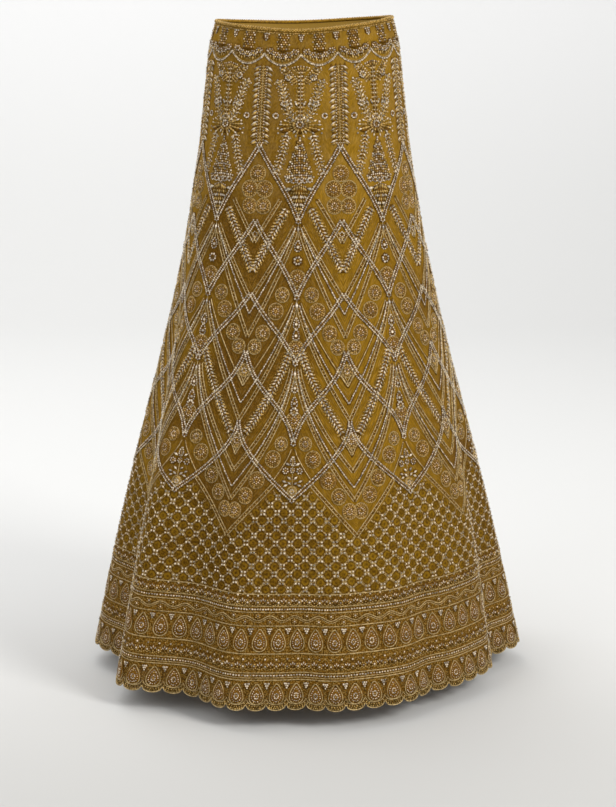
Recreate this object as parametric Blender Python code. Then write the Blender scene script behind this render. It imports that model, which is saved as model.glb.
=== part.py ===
"""A flared lehenga skirt, worn open and empty: embroidered net over a plain lining, bound at the waist.

Metres, +Z up, the front faces -Y. The origin is the centre of the waist, where it is held, level with
the cloth's upper edge at the sides, and the skirt hangs below it.
"""

import math
from collections import namedtuple

import bmesh
import bpy
import numpy as np
from mathutils import Vector

# Driving dimensions
SKIRT_LENGTH = 1.030
NET_THICKNESS = 0.0012
LINING_THICKNESS = 0.001
SEAM_GAP = 0.0003
LINING_EASE = 0.004
LINING_EASE_FROM = 0.07
LINING_HEM_RISE = 0.040
BINDING_RADIUS = 0.0024
SCALLOP_COUNT = 64
SCALLOP_DEPTH = 0.009
COLUMNS_PER_SCALLOP = 2
EDGE_CUTS = 2
RING_SAMPLES = 720
NORMAL_STEP = 1e-4
SHARP_ANGLE = math.radians(50)

# The waist sits lower at the front, a little lower at the back, and tilts down to the left
FRONT_DIP = 0.0155
BACK_DIP = 0.006
WAIST_TILT = 0.003
DIP_FADES_BY = 0.16

# The hem hangs a little further right than the waist
HEM_LEAN = 0.007

# The cloth turns slightly to the left as it falls
TWIST_AT_WAIST = math.radians(2.0)
TWIST_OVER_FALL = math.radians(4.5)

# The front and back panels are cut fuller at their sides lower down
EVEN_SHARE_AT_WAIST = 0.04
EVEN_SHARE_LOSS = 0.14
SHARE_CHANGES_BY = 0.5

Section = namedtuple("Section", "drop half_width front_depth back_depth squareness")
SECTIONS = (
    Section(0.000, 0.139, 0.111, 0.105, 2.40),
    Section(0.030, 0.147, 0.119, 0.113, 2.40),
    Section(0.095, 0.155, 0.127, 0.126, 2.40),
    Section(0.200, 0.167, 0.142, 0.147, 2.35),
    Section(0.360, 0.195, 0.171, 0.177, 2.20),
    Section(0.525, 0.235, 0.206, 0.213, 2.10),
    Section(0.695, 0.282, 0.245, 0.257, 2.00),
    Section(0.840, 0.320, 0.276, 0.292, 2.00),
    Section(0.985, 0.354, 0.303, 0.321, 2.00),
    Section(1.060, 0.371, 0.317, 0.336, 2.00),
)

# Angles run from the front centre, positive towards +X; the fold begins at a share of the length
Fold = namedtuple("Fold", "name angle half_width out begins")
FOLDS = (
    Fold("left side hollow", -76.0, 11.0, -0.050, 0.26),
    Fold("left ridge", -55.0, 7.0, 0.018, 0.18),
    Fold("left front hollow", -38.0, 9.0, -0.022, 0.46),
    Fold("left front swell", -21.0, 8.0, 0.012, 0.50),
    Fold("centre hollow", -2.0, 5.0, -0.007, 0.60),
    Fold("centre swell", 8.0, 6.0, 0.005, 0.60),
    Fold("right front hollow", 40.0, 7.0, -0.014, 0.44),
    Fold("right recess", 60.0, 26.0, -0.036, 0.36),
    Fold("right side hollow", 79.0, 8.0, -0.034, 0.42),
    Fold("right back hollow", 112.0, 9.0, -0.030, 0.34),
    Fold("right back ridge", 131.0, 9.0, 0.018, 0.30),
    Fold("back right hollow", 152.0, 9.0, -0.026, 0.42),
    Fold("back centre swell", 178.0, 10.0, 0.012, 0.36),
    Fold("back left hollow", -158.0, 8.0, -0.024, 0.46),
    Fold("left back ridge", -136.0, 10.0, 0.020, 0.30),
    Fold("left back hollow", -114.0, 9.0, -0.032, 0.36),
)
FOLD_GROWTH = 1.15

# Heights of the panels' rows, as shares of the length
NET_ROWS = (0.0, 0.012, 0.03, 0.07, 0.15, 0.27, 0.40, 0.53, 0.66, 0.79, 0.90, 0.97, 1.0)
LINING_ROWS = (0.0, 0.03, 0.075, 0.20, 0.40, 0.60, 0.80, 1.0)

Cloth = namedtuple("Cloth", "name colour roughness")
NET_CLOTH = Cloth("embroidered_net", (0.30, 0.17, 0.025, 1.0), 0.55)
LINING_CLOTH = Cloth("lining", (0.33, 0.19, 0.02, 1.0), 0.45)
BINDING_CLOTH = Cloth("binding", (0.42, 0.27, 0.07, 1.0), 0.5)


def smooth_share(value, low, high):
    """0 below low, 1 above high, and an even S between them."""
    share = min(1.0, max(0.0, (value - low) / (high - low)))
    return share * share * (3.0 - 2.0 * share)


def section_at(drop):
    """The skirt's cross-section at a drop below the waist, read smoothly from the table."""
    rows = SECTIONS
    i = max(1, min(len(rows) - 1, sum(row.drop <= drop for row in rows)))
    before, low, high, after = rows[max(0, i - 2)], rows[i - 1], rows[i], rows[min(len(rows) - 1, i + 1)]
    span = high.drop - low.drop
    s = (drop - low.drop) / span
    values = []
    for a, b, c, d in zip(before[1:], low[1:], high[1:], after[1:]):
        slope_low = (c - a) / (high.drop - before.drop) * span
        slope_high = (d - b) / (after.drop - low.drop) * span
        values.append(
            (2 * s**3 - 3 * s**2 + 1) * b
            + (s**3 - 2 * s**2 + s) * slope_low
            + (3 * s**2 - 2 * s**3) * c
            + (s**3 - s**2) * slope_high
        )
    return Section(drop, *values)


def fold_out(angle, drop):
    """How far the folds push the cloth out at an angle, in metres."""
    fall = drop / SKIRT_LENGTH
    out = 0.0
    for fold in FOLDS:
        grown = max(0.0, (fall - fold.begins) / (1.0 - fold.begins)) ** FOLD_GROWTH
        away = (np.degrees(angle) - fold.angle + 180.0) % 360.0 - 180.0
        out = out + fold.out * grown * np.exp(-((away / fold.half_width) ** 2))
    return out


def surface(angle, drop, section=None):
    """Points of the skirt's outer surface, for one drop and an array of angles."""
    section = section or section_at(drop)
    sine, cosine = np.sin(angle), np.cos(angle)
    depth = np.where(cosine > 0, section.front_depth, section.back_depth)
    power = section.squareness
    radius = (np.abs(sine / section.half_width) ** power + np.abs(cosine / depth) ** power) ** (-1 / power)
    radius = radius + fold_out(angle, drop)
    dip = np.where(cosine > 0, FRONT_DIP, BACK_DIP) * cosine**2 - WAIST_TILT * sine
    fall = drop / SKIRT_LENGTH
    height = -drop - dip * (1.0 - smooth_share(fall, 0.0, DIP_FADES_BY))
    return np.stack([radius * sine + HEM_LEAN * fall**2, -radius * cosine, height], axis=-1)


def angles_of(shares, drop):
    """The angles at which an even cloth has these shares of its girth, counted from the front centre."""
    fall = drop / SKIRT_LENGTH
    start = -TWIST_AT_WAIST - TWIST_OVER_FALL * fall
    ring = start + np.linspace(-math.pi, math.pi, RING_SAMPLES + 1)
    points = surface(ring, drop)
    length = np.concatenate([[0.0], np.cumsum(np.linalg.norm(np.diff(points, axis=0), axis=1))])
    front = np.interp(start, ring, length)
    girth = length[-1]
    even = EVEN_SHARE_AT_WAIST - EVEN_SHARE_LOSS * smooth_share(fall, 0.0, SHARE_CHANGES_BY)
    wanted = shares + even * np.sin(4 * math.pi * shares) / (4 * math.pi)
    turns = np.floor((front + wanted * girth) / girth)
    along = front + wanted * girth - turns * girth
    return np.interp(along, length, ring) + turns * 2 * math.pi, girth


def cloth(shares, drop, inset):
    """Points of the cloth at these shares of the girth, moved in from the outer surface by inset."""
    angle, _ = angles_of(np.asarray(shares, float), drop)
    point = surface(angle, drop)
    across = surface(angle + NORMAL_STEP, drop) - surface(angle - NORMAL_STEP, drop)
    down = surface(angle, drop + NORMAL_STEP) - surface(angle, drop - NORMAL_STEP)
    normal = np.cross(down, across)
    normal /= np.linalg.norm(normal, axis=1)[:, None]
    return point - normal * inset


def seam_inset(drop):
    """Half of the gap between the front and back panels, as a share of the girth."""
    return SEAM_GAP / 2 / angles_of(np.zeros(1), drop)[1]


def scallop_rise(share):
    """How far the net's lower edge lies above the scallops' tips: each scallop is an arc."""
    along = (share * SCALLOP_COUNT) % 1.0
    return SCALLOP_DEPTH * (1.0 - math.sqrt(max(0.0, 1.0 - (2.0 * along - 1.0) ** 2)))


def fill_material(kind):
    """A Principled material for one cloth."""
    material = bpy.data.materials.new(kind.name)
    material.use_nodes = True
    shader = material.node_tree.nodes["Principled BSDF"]
    shader.inputs["Base Color"].default_value = kind.colour
    shader.inputs["Roughness"].default_value = kind.roughness
    shader.inputs["Metallic"].default_value = 0.0
    return material


def panel_grid(columns, rows):
    """A flat grid from x -0.5 to 0.5, its rows one metre apart and counted down from y 0."""
    mesh = bmesh.new()
    bmesh.ops.create_grid(mesh, x_segments=columns, y_segments=len(rows) - 1, size=0.5)
    for vertex in mesh.verts:
        vertex.co.y = round((0.5 - vertex.co.y) * (len(rows) - 1))
    return mesh


def drape_panel(mesh, name, centre_share, drop_of, inset, thickness, material, collection):
    """Doubles a grid and moves its two sheets onto the cloth's faces, half of the girth wide."""
    outer = list(mesh.verts)
    rim = [edge for edge in mesh.edges if edge.is_boundary]
    copied = bmesh.ops.duplicate(mesh, geom=outer + list(mesh.edges) + list(mesh.faces))
    inner = [copied["vert_map"][vertex] for vertex in outer]
    inner_rim = [copied["edge_map"][edge] for edge in rim]
    bmesh.ops.reverse_faces(mesh, faces=[face for face in mesh.faces if face.verts[0] in set(inner)])
    by_drop = {}
    for vertex, twin in zip(outer, inner):
        share = vertex.co.x / 2
        by_drop.setdefault(round(drop_of(share, vertex.co.y), 7), []).append((vertex, twin, share))
    for drop, found in by_drop.items():
        gap = 1.0 - 4.0 * seam_inset(drop)
        shares = np.array([centre_share + share * gap for _, _, share in found])
        outside = cloth(shares, drop, inset(drop))
        inside = cloth(shares, drop, inset(drop) + thickness)
        for (vertex, twin, _), place, twin_place in zip(found, outside, inside):
            vertex.co = Vector(place)
            twin.co = Vector(twin_place)
    bmesh.ops.bridge_loops(mesh, edges=rim + inner_rim)
    bmesh.ops.recalc_face_normals(mesh, faces=mesh.faces)
    data = bpy.data.meshes.new(name)
    mesh.to_mesh(data)
    mesh.free()
    data.shade_smooth()
    data.set_sharp_from_angle(angle=SHARP_ANGLE)
    data.materials.append(material)
    panel = bpy.data.objects.new(name, data)
    collection.objects.link(panel)
    return panel


def net_panel(name, centre_share, material, collection):
    """One half of the embroidered net, with its scalloped lower edge."""
    columns = SCALLOP_COUNT // 2 * COLUMNS_PER_SCALLOP
    mesh = panel_grid(columns, NET_ROWS)
    last = len(NET_ROWS) - 1
    hem = [e for e in mesh.edges if all(round(v.co.y) == last for v in e.verts)]
    bmesh.ops.subdivide_edges(mesh, edges=hem, cuts=EDGE_CUTS)

    def drop_of(share, row):
        if round(row) == last:
            return SKIRT_LENGTH - scallop_rise(share)
        return SKIRT_LENGTH * NET_ROWS[round(row)]

    return drape_panel(mesh, name, centre_share, drop_of, lambda drop: 0.0, NET_THICKNESS, material, collection)


def lining_inset(drop):
    """The lining lies close under the net at the waist and hangs a little clear of it below."""
    return NET_THICKNESS + SEAM_GAP + LINING_EASE * smooth_share(drop / SKIRT_LENGTH, 0.0, LINING_EASE_FROM)


def lining_panel(name, centre_share, material, collection):
    """One half of the lining, cut shorter than the net and level at its hem."""
    columns = SCALLOP_COUNT // 2 * COLUMNS_PER_SCALLOP
    mesh = panel_grid(columns, LINING_ROWS)
    length = SKIRT_LENGTH - LINING_HEM_RISE
    return drape_panel(
        mesh,
        name,
        centre_share,
        lambda share, row: length * LINING_ROWS[round(row)],
        lining_inset,
        LINING_THICKNESS,
        material,
        collection,
    )


def waist_binding(material, collection):
    """The corded binding that caps the net and the lining round the whole waist."""
    middle = (NET_THICKNESS + SEAM_GAP + LINING_THICKNESS) / 2
    count = SCALLOP_COUNT
    shares = np.arange(count) / count - 0.5
    ring = cloth(shares, 0.0, middle)
    ring[:, 2] += BINDING_RADIUS + SEAM_GAP
    curve = bpy.data.curves.new("waist_binding", "CURVE")
    curve.dimensions = "3D"
    curve.bevel_depth = BINDING_RADIUS
    curve.bevel_resolution = 1
    spline = curve.splines.new("POLY")
    spline.points.add(count - 1)
    for point, place in zip(spline.points, ring):
        point.co = (*place, 1.0)
    spline.use_cyclic_u = True
    curve.materials.append(material)
    binding = bpy.data.objects.new("waist_binding", curve)
    collection.objects.link(binding)
    return binding


def build_skirt():
    """The whole skirt, in a collection of its own."""
    collection = bpy.data.collections.new("lehenga_skirt")
    bpy.context.scene.collection.children.link(collection)
    net = fill_material(NET_CLOTH)
    lining = fill_material(LINING_CLOTH)
    binding = fill_material(BINDING_CLOTH)
    net_panel("net_front", 0.0, net, collection)
    net_panel("net_back", 0.5, net, collection)
    lining_panel("lining_front", 0.0, lining, collection)
    lining_panel("lining_back", 0.5, lining, collection)
    waist_binding(binding, collection)


for old in list(bpy.data.objects):
    bpy.data.objects.remove(old)
build_skirt()
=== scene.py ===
"""Dresses the lehenga skirt: its net, lining and binding, and the bead and metal-thread embroidery.

Metres, +Z up, the front faces -Y. A place on the cloth is a number of pattern repeats round from the
front centre, and a drop below the waist edge.
"""

import math
from collections import namedtuple

import bmesh
import bpy
import numpy as np
from mathutils import Euler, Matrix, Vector


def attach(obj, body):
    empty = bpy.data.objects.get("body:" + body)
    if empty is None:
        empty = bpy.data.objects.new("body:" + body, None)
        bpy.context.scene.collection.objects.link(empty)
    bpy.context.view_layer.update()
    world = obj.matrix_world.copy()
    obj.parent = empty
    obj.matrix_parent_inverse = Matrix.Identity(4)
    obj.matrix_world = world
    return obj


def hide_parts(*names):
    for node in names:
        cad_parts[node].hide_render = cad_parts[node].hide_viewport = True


bl_info = {
    "name": "Lehenga Skirt",
    "version": (1, 0, 0),
    "blender": (4, 5, 0),
    "location": "3D View > Sidebar > Lehenga",
    "description": "Dresses the skirt's solids with cloth, beads and metal thread",
    "category": "Object",
}

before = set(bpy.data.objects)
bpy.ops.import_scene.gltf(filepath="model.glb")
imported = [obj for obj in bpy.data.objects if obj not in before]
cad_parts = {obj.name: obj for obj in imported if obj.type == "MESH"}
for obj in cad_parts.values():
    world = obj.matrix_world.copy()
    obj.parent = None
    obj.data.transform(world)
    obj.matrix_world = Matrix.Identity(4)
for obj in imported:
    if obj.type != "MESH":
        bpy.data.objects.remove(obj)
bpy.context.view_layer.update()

# The hung cloth, in the same sizes as the solids
SKIRT_LENGTH = 1.030
NET_THICKNESS = 0.0012
LINING_THICKNESS = 0.001
SEAM_GAP = 0.0003
LINING_EASE = 0.004
LINING_EASE_FROM = 0.07
LINING_HEM_RISE = 0.040
BINDING_RADIUS = 0.0024
REPEATS = 8
SCALLOPS_PER_REPEAT = 8
SCALLOP_DEPTH = 0.009
FRONT_DIP = 0.0155
BACK_DIP = 0.006
WAIST_TILT = 0.003
DIP_FADES_BY = 0.16
HEM_LEAN = 0.007
TWIST_AT_WAIST = math.radians(2.0)
TWIST_OVER_FALL = math.radians(4.5)
EVEN_SHARE_AT_WAIST = 0.04
EVEN_SHARE_LOSS = 0.14
SHARE_CHANGES_BY = 0.5
FOLD_GROWTH = 1.15

Section = namedtuple("Section", "drop half_width front_depth back_depth squareness")
SECTIONS = (
    Section(0.000, 0.139, 0.111, 0.105, 2.40),
    Section(0.030, 0.147, 0.119, 0.113, 2.40),
    Section(0.095, 0.155, 0.127, 0.126, 2.40),
    Section(0.200, 0.167, 0.142, 0.147, 2.35),
    Section(0.360, 0.195, 0.171, 0.177, 2.20),
    Section(0.525, 0.235, 0.206, 0.213, 2.10),
    Section(0.695, 0.282, 0.245, 0.257, 2.00),
    Section(0.840, 0.320, 0.276, 0.292, 2.00),
    Section(0.985, 0.354, 0.303, 0.321, 2.00),
    Section(1.060, 0.371, 0.317, 0.336, 2.00),
)

Fold = namedtuple("Fold", "name angle half_width out begins")
FOLDS = (
    Fold("left side hollow", -76.0, 11.0, -0.050, 0.26),
    Fold("left ridge", -55.0, 7.0, 0.018, 0.18),
    Fold("left front hollow", -38.0, 9.0, -0.022, 0.46),
    Fold("left front swell", -21.0, 8.0, 0.012, 0.50),
    Fold("centre hollow", -2.0, 5.0, -0.007, 0.60),
    Fold("centre swell", 8.0, 6.0, 0.005, 0.60),
    Fold("right front hollow", 40.0, 7.0, -0.014, 0.44),
    Fold("right recess", 60.0, 26.0, -0.036, 0.36),
    Fold("right side hollow", 79.0, 8.0, -0.034, 0.42),
    Fold("right back hollow", 112.0, 9.0, -0.030, 0.34),
    Fold("right back ridge", 131.0, 9.0, 0.018, 0.30),
    Fold("back right hollow", 152.0, 9.0, -0.026, 0.42),
    Fold("back centre swell", 178.0, 10.0, 0.012, 0.36),
    Fold("back left hollow", -158.0, 8.0, -0.024, 0.46),
    Fold("left back ridge", -136.0, 10.0, 0.020, 0.30),
    Fold("left back hollow", -114.0, 9.0, -0.032, 0.36),
)


def smooth_share(value, low, high):
    """0 below low, 1 above high, and an even S between them."""
    share = np.clip((value - low) / (high - low), 0.0, 1.0)
    return share * share * (3.0 - 2.0 * share)


def section_at(drop):
    """The skirt's cross-section at a drop below the waist, read smoothly from the table."""
    rows = SECTIONS
    i = max(1, min(len(rows) - 1, sum(row.drop <= drop for row in rows)))
    low, high = rows[i - 1], rows[i]
    before, after = rows[max(0, i - 2)], rows[min(len(rows) - 1, i + 1)]
    span = high.drop - low.drop
    s = (drop - low.drop) / span
    values = []
    for a, b, c, d in zip(before[1:], low[1:], high[1:], after[1:]):
        slope_low = (c - a) / (high.drop - before.drop) * span
        slope_high = (d - b) / (after.drop - low.drop) * span
        values.append(
            (2 * s**3 - 3 * s**2 + 1) * b
            + (s**3 - 2 * s**2 + s) * slope_low
            + (3 * s**2 - 2 * s**3) * c
            + (s**3 - s**2) * slope_high
        )
    return Section(drop, *values)


def surface(angle, drop):
    """Points of the net's outer surface, for one drop and an array of angles."""
    section = section_at(drop)
    fall = drop / SKIRT_LENGTH
    sine, cosine = np.sin(angle), np.cos(angle)
    depth = np.where(cosine > 0, section.front_depth, section.back_depth)
    power = section.squareness
    radius = (np.abs(sine / section.half_width) ** power + np.abs(cosine / depth) ** power) ** (-1 / power)
    for fold in FOLDS:
        grown = max(0.0, (fall - fold.begins) / (1.0 - fold.begins)) ** FOLD_GROWTH
        away = (np.degrees(angle) - fold.angle + 180.0) % 360.0 - 180.0
        radius = radius + fold.out * grown * np.exp(-((away / fold.half_width) ** 2))
    dip = np.where(cosine > 0, FRONT_DIP, BACK_DIP) * cosine**2 - WAIST_TILT * sine
    height = -drop - dip * (1.0 - smooth_share(fall, 0.0, DIP_FADES_BY))
    return np.stack([radius * sine + HEM_LEAN * fall**2, -radius * cosine, height], axis=-1)


class HungCloth:
    """The net's outer surface as a table of points, read at any place on the cloth."""

    ROW_STEP = 0.004
    COLUMNS = 2880
    RING_POINTS = 1441

    def __init__(self):
        rows = int(SKIRT_LENGTH / self.ROW_STEP) + 3
        shares = np.arange(self.COLUMNS + 1) / self.COLUMNS - 0.5
        points, girths = [], []
        for row in range(rows):
            ring, girth = self._ring(shares, row * self.ROW_STEP)
            points.append(ring)
            girths.append(girth)
        self.points = np.array(points)
        self.widths = np.array(girths) / REPEATS
        self.drops = np.arange(rows) * self.ROW_STEP
        down = np.gradient(self.points, axis=0)
        across = np.roll(self.points[:, :-1], -1, axis=1) - np.roll(self.points[:, :-1], 1, axis=1)
        self.across = self._unit(np.concatenate([across, across[:, :1]], axis=1))
        self.normals = self._unit(np.cross(down, self.across))

    def _ring(self, shares, drop):
        """The points at shares of the girth from the front, and the girth, at one drop."""
        fall = drop / SKIRT_LENGTH
        start = -TWIST_AT_WAIST - TWIST_OVER_FALL * fall
        ring = start + np.linspace(-math.pi, math.pi, self.RING_POINTS)
        line = surface(ring, drop)
        length = np.concatenate([[0.0], np.cumsum(np.linalg.norm(np.diff(line, axis=0), axis=1))])
        front = np.interp(start, ring, length)
        girth = length[-1]
        even = EVEN_SHARE_AT_WAIST - EVEN_SHARE_LOSS * smooth_share(fall, 0.0, SHARE_CHANGES_BY)
        wanted = shares + even * np.sin(4 * math.pi * shares) / (4 * math.pi)
        along = front + wanted * girth
        turns = np.floor(along / girth)
        angle = np.interp(along - turns * girth, length, ring) + turns * 2 * math.pi
        return surface(angle, drop), girth

    @staticmethod
    def _unit(vectors):
        """Vectors brought to a length of one."""
        return vectors / np.linalg.norm(vectors, axis=-1, keepdims=True)

    def width(self, drop):
        """The width of one pattern repeat at a drop."""
        return np.interp(drop, self.drops, self.widths)

    def _read(self, table, repeat, drop):
        """A table's values at places, between the four entries round each."""
        column = ((np.asarray(repeat, float) / REPEATS + 0.5) % 1.0) * self.COLUMNS
        row = np.clip(np.asarray(drop, float) / self.ROW_STEP, 0.0, len(self.drops) - 1.001)
        i, j = column.astype(int), row.astype(int)
        across, down = (column - i)[..., None], (row - j)[..., None]
        upper = table[j, i] * (1 - across) + table[j, i + 1] * across
        lower = table[j + 1, i] * (1 - across) + table[j + 1, i + 1] * across
        return upper * (1 - down) + lower * down

    def point(self, repeat, drop):
        """Points of the net's outer surface."""
        return self._read(self.points, repeat, drop)

    def axes(self, repeat, drop):
        """Unit vectors there: out of the cloth, to the right along it, and down it."""
        normal = self._unit(self._read(self.normals, repeat, drop))
        right = self._unit(self._read(self.across, repeat, drop))
        return normal, right, np.cross(right, normal)


CLOTH = HungCloth()


def scallop_rise(repeat):
    """How far the net's lower edge lies above the scallops' tips: each scallop is an arc."""
    along = (repeat * SCALLOPS_PER_REPEAT) % 1.0
    return SCALLOP_DEPTH * (1.0 - np.sqrt(np.clip(1.0 - (2.0 * along - 1.0) ** 2, 0.0, 1.0)))


def colour_setting(name, description, default):
    """A colour in the panel."""
    return bpy.props.FloatVectorProperty(
        name=name, description=description, subtype="COLOR", size=3, min=0.0, max=1.0, default=default
    )


def length_setting(name, description, default, **limits):
    """A length in the panel, in metres."""
    return bpy.props.FloatProperty(
        name=name, description=description, subtype="DISTANCE", unit="LENGTH", default=default, **limits
    )


def power_setting(name, description, default):
    """A light's power in the panel, in watts."""
    return bpy.props.FloatProperty(name=name, description=description, unit="POWER", default=default, min=0.0)


class SkirtColours(bpy.types.PropertyGroup):
    """Colours of the cloth, the beads and the metal thread."""

    net: colour_setting("Net", "Colour of the bare net over the lining", (0.258, 0.138, 0.0090))
    # The net shade colours the net's darker flecks, and it is also the painted shade in the bands of folds
    # turned from the light
    net_shade: colour_setting(
        "Net shade", "Colour of the net's darker flecks and of its dull folds", (0.084, 0.036, 0.0050)
    )
    lining: colour_setting("Lining", "Colour of the satin lining", (0.33, 0.19, 0.02))
    gold: colour_setting("Metal thread", "Colour of the couched gold thread", (0.50, 0.325, 0.095))
    worked: colour_setting(
        "Worked ground", "Colour of the net under close stitching, as at the border", (0.150, 0.066, 0.0045)
    )
    pale_gold: colour_setting(
        "Pale thread", "Colour of the metal thread where it catches the light", (0.60, 0.44, 0.20)
    )
    silver: colour_setting("Silver beads", "Colour of the silver-pink glass beads", (0.65, 0.56, 0.43))
    # This colour is that of dark bronze stitches under the beads, and it also stands as painted shadow round
    # them
    padding_shadow: colour_setting(
        "Padding stitches", "Colour of the dark bronze padding under the beads", (0.122, 0.056, 0.0060)
    )


class SkirtSizes(bpy.types.PropertyGroup):
    """Sizes of the beads, the threads and the cloth's wall."""

    bead: length_setting("Bead radius", "Radius of the seed beads", 0.00150, min=0.0005, max=0.002)
    thread: length_setting(
        "Thread radius", "Radius of the couched gold thread", 0.00085, min=0.0003, max=0.0015
    )
    wall: length_setting(
        "Cloth thickness",
        "Thickness of the net and of the lining as they show",
        0.0006,
        min=0.0003,
        max=0.001,
    )


class StageSettings(bpy.types.PropertyGroup):
    """The floor's height and the strength of the lights."""

    floor: length_setting("Floor height", "Height of the floor, a little below the hem", -1.062)
    key: power_setting("Key light", "Power of the large light at the right", 96.0)
    fill: power_setting("Fill light", "Power of the soft light at the left", 34.0)
    wash: power_setting("Wall light", "Power of the light on the paper behind", 60.0)
    sky: bpy.props.FloatProperty(
        name="Sky", description="Strength of the even light from all round", default=0.62, min=0.0
    )


class Sock:
    """A node's output that takes part in Python expressions: each operator adds a Math node."""

    def __init__(self, nodes, output):
        self.nodes = nodes
        self.output = output

    def math(self, operation, *values):
        """A Math node on these values."""
        return self.nodes.add("ShaderNodeMath", {"operation": operation}, dict(enumerate(values)))

    def __add__(self, other):
        return self.math("ADD", self, other)

    def __radd__(self, other):
        return self.math("ADD", other, self)

    def __sub__(self, other):
        return self.math("SUBTRACT", self, other)

    def __rsub__(self, other):
        return self.math("SUBTRACT", other, self)

    def __mul__(self, other):
        return self.math("MULTIPLY", self, other)

    def __rmul__(self, other):
        return self.math("MULTIPLY", other, self)

    def __truediv__(self, other):
        return self.math("DIVIDE", self, other)

    def __abs__(self):
        return self.math("ABSOLUTE", self)

    def wave(self):
        """The sine of this value."""
        return self.math("SINE", self)

    def step(self, low, high):
        """0 below low, 1 above high, smooth between."""
        return self.nodes.add(
            "ShaderNodeMapRange", {"interpolation_type": "SMOOTHSTEP"}, {"Value": self, 1: low, 2: high}
        )


class Nodes:
    """Adds nodes to one tree."""

    def __init__(self, tree):
        self.tree = tree

    def add(self, kind, settings=None, values=None, output=0):
        """A node of a type, with its settings first and then the values or links of its sockets."""
        node = self.tree.nodes.new(kind)
        for name, value in (settings or {}).items():
            setattr(node, name, value)
        for name, value in (values or {}).items():
            if isinstance(value, Sock):
                self.tree.links.new(value.output, node.inputs[name])
            else:
                node.inputs[name].default_value = value
        return Sock(self, node.outputs[output]) if len(node.outputs) else node

    def other(self, sock, name):
        """Another output of the node that a value came from."""
        return Sock(self, sock.output.node.outputs[name])

    def mix(self, factor, first, second):
        """A colour between two colours."""
        return self.add("ShaderNodeMix", {"data_type": "RGBA"}, {0: factor, 6: first, 7: second}, 2)

    def noise(self, place, scale, detail=2.0):
        """Smooth noise from about 0.2 to 0.8."""
        return self.add("ShaderNodeTexNoise", {}, {"Vector": place, "Scale": scale, "Detail": detail})

    def bump(self, strength, distance, height):
        """A normal tilted by a height."""
        return self.add("ShaderNodeBump", {}, {"Strength": strength, "Distance": distance, "Height": height})


def opaque(colour, share=1.0):
    """A colour with its alpha, darkened to a share."""
    return (*(channel * share for channel in colour), 1.0)


def new_material(name, **constants):
    """A material, its node adder and its shader, whose unvarying sockets are set here."""
    material = bpy.data.materials.new(name)
    material.use_nodes = True
    shader = material.node_tree.nodes["Principled BSDF"]
    for socket, value in constants.items():
        shader.inputs[socket.replace("_", " ")].default_value = value
    return material, Nodes(material.node_tree), shader


def feed(nodes, shader, **sources):
    """Links varying values to the shader's sockets."""
    for socket, source in sources.items():
        nodes.tree.links.new(source.output, shader.inputs[socket.replace("_", " ")])


NetReading = namedtuple(
    "NetReading", "repeat drop thread streak cloud fleck uneven couched pits inside in_jaal"
)


def read_net(nodes):
    """Where a point lies on the net, its share of each ground, and its unevenness at several scales."""
    place = nodes.add("ShaderNodeUVMap", {"uv_map": "repeats"})
    repeat = nodes.add("ShaderNodeSeparateXYZ", {}, {0: place})
    drop = nodes.other(repeat, "Y")
    repeat = repeat * REPEATS
    aside = repeat.math("PINGPONG", repeat, 0.5)
    thread = nodes.add("ShaderNodeUVMap", {"uv_map": "weave"})
    upright = nodes.add("ShaderNodeMapping", {}, {"Vector": thread, "Scale": (1.0, 0.12, 1.0)})
    along = nodes.add("ShaderNodeCombineXYZ", {}, {"X": drop - aside * INNER_ROW_FALL, "Y": aside * 0.05})
    jaal_top = aside.math(
        "MAXIMUM", aside * JAAL_EDGE_FALL + JAAL_EDGE_TOP, JAAL_POINT_TOP - aside * JAAL_POINT_RISE
    )
    return NetReading(
        repeat=repeat,
        drop=drop,
        thread=thread,
        streak=nodes.noise(upright, 330.0, 2.0).step(0.35, 0.65),
        cloud=nodes.noise(thread, 11.0, 2.0).step(0.3, 0.7),
        fleck=nodes.noise(thread, 300.0, 1.0).step(0.42, 0.58),
        uneven=nodes.noise(thread, 60.0, 1.0).step(0.38, 0.62),
        couched=nodes.noise(along, 360.0, 1.0).step(0.42, 0.6),
        pits=nodes.noise(along, 520.0, 1.0),
        inside=(drop - aside * 0.1).step(INNER_GROUND_FROM, INNER_GROUND_BY),
        in_jaal=(drop - jaal_top).step(0.0, 0.004),
    )


def bare_ground(nodes, colours, net):
    """The net from the waist to the first ogees: upright streaks with dark and pale flecks."""
    broad = net.streak * 0.35 + net.cloud * 0.35
    ground = nodes.mix(broad, opaque(colours.net, 0.74), opaque(colours.net, 1.34))
    ground = nodes.mix((1.0 - net.fleck) * 0.28, ground, opaque(colours.net_shade))
    return nodes.mix(net.uneven * 0.09, ground, opaque(colours.pale_gold, 0.9))


def inner_ground(nodes, colours, net):
    """The net between the ogees: fine couched threads that follow the rows."""
    ground = nodes.mix(net.couched, opaque(colours.net, 0.66), opaque(colours.net, 1.2))
    worked = (1.0 - net.streak) * 0.25 + net.cloud * 0.35
    ground = nodes.mix(worked, ground, opaque(colours.worked, 0.75))
    return nodes.mix((1.0 - net.fleck) * 0.24, ground, opaque(colours.net_shade))


def jaal_ground(nodes, colours, net):
    """The jaal's cells: a filled disc in each, and flecked stitches between them."""
    slant = net.drop / JAAL_PITCH
    column = net.repeat * JAAL_PER_REPEAT
    cell = abs(((column + slant) * math.pi).wave() * ((column - slant) * math.pi).wave())
    middle = cell.step(0.42, 0.70) - cell.step(0.84, 0.97) * 0.9
    filled = middle * (net.uneven * 0.6 + 0.2) + net.fleck * 0.35
    disc = nodes.mix(filled, opaque(colours.worked, 0.42), opaque(colours.net, 0.86))
    between = nodes.mix(net.fleck * 0.85, opaque(colours.worked, 0.7), opaque(colours.pale_gold, 0.75))
    return nodes.mix(cell.step(0.25, 0.38), between, disc)


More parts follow.
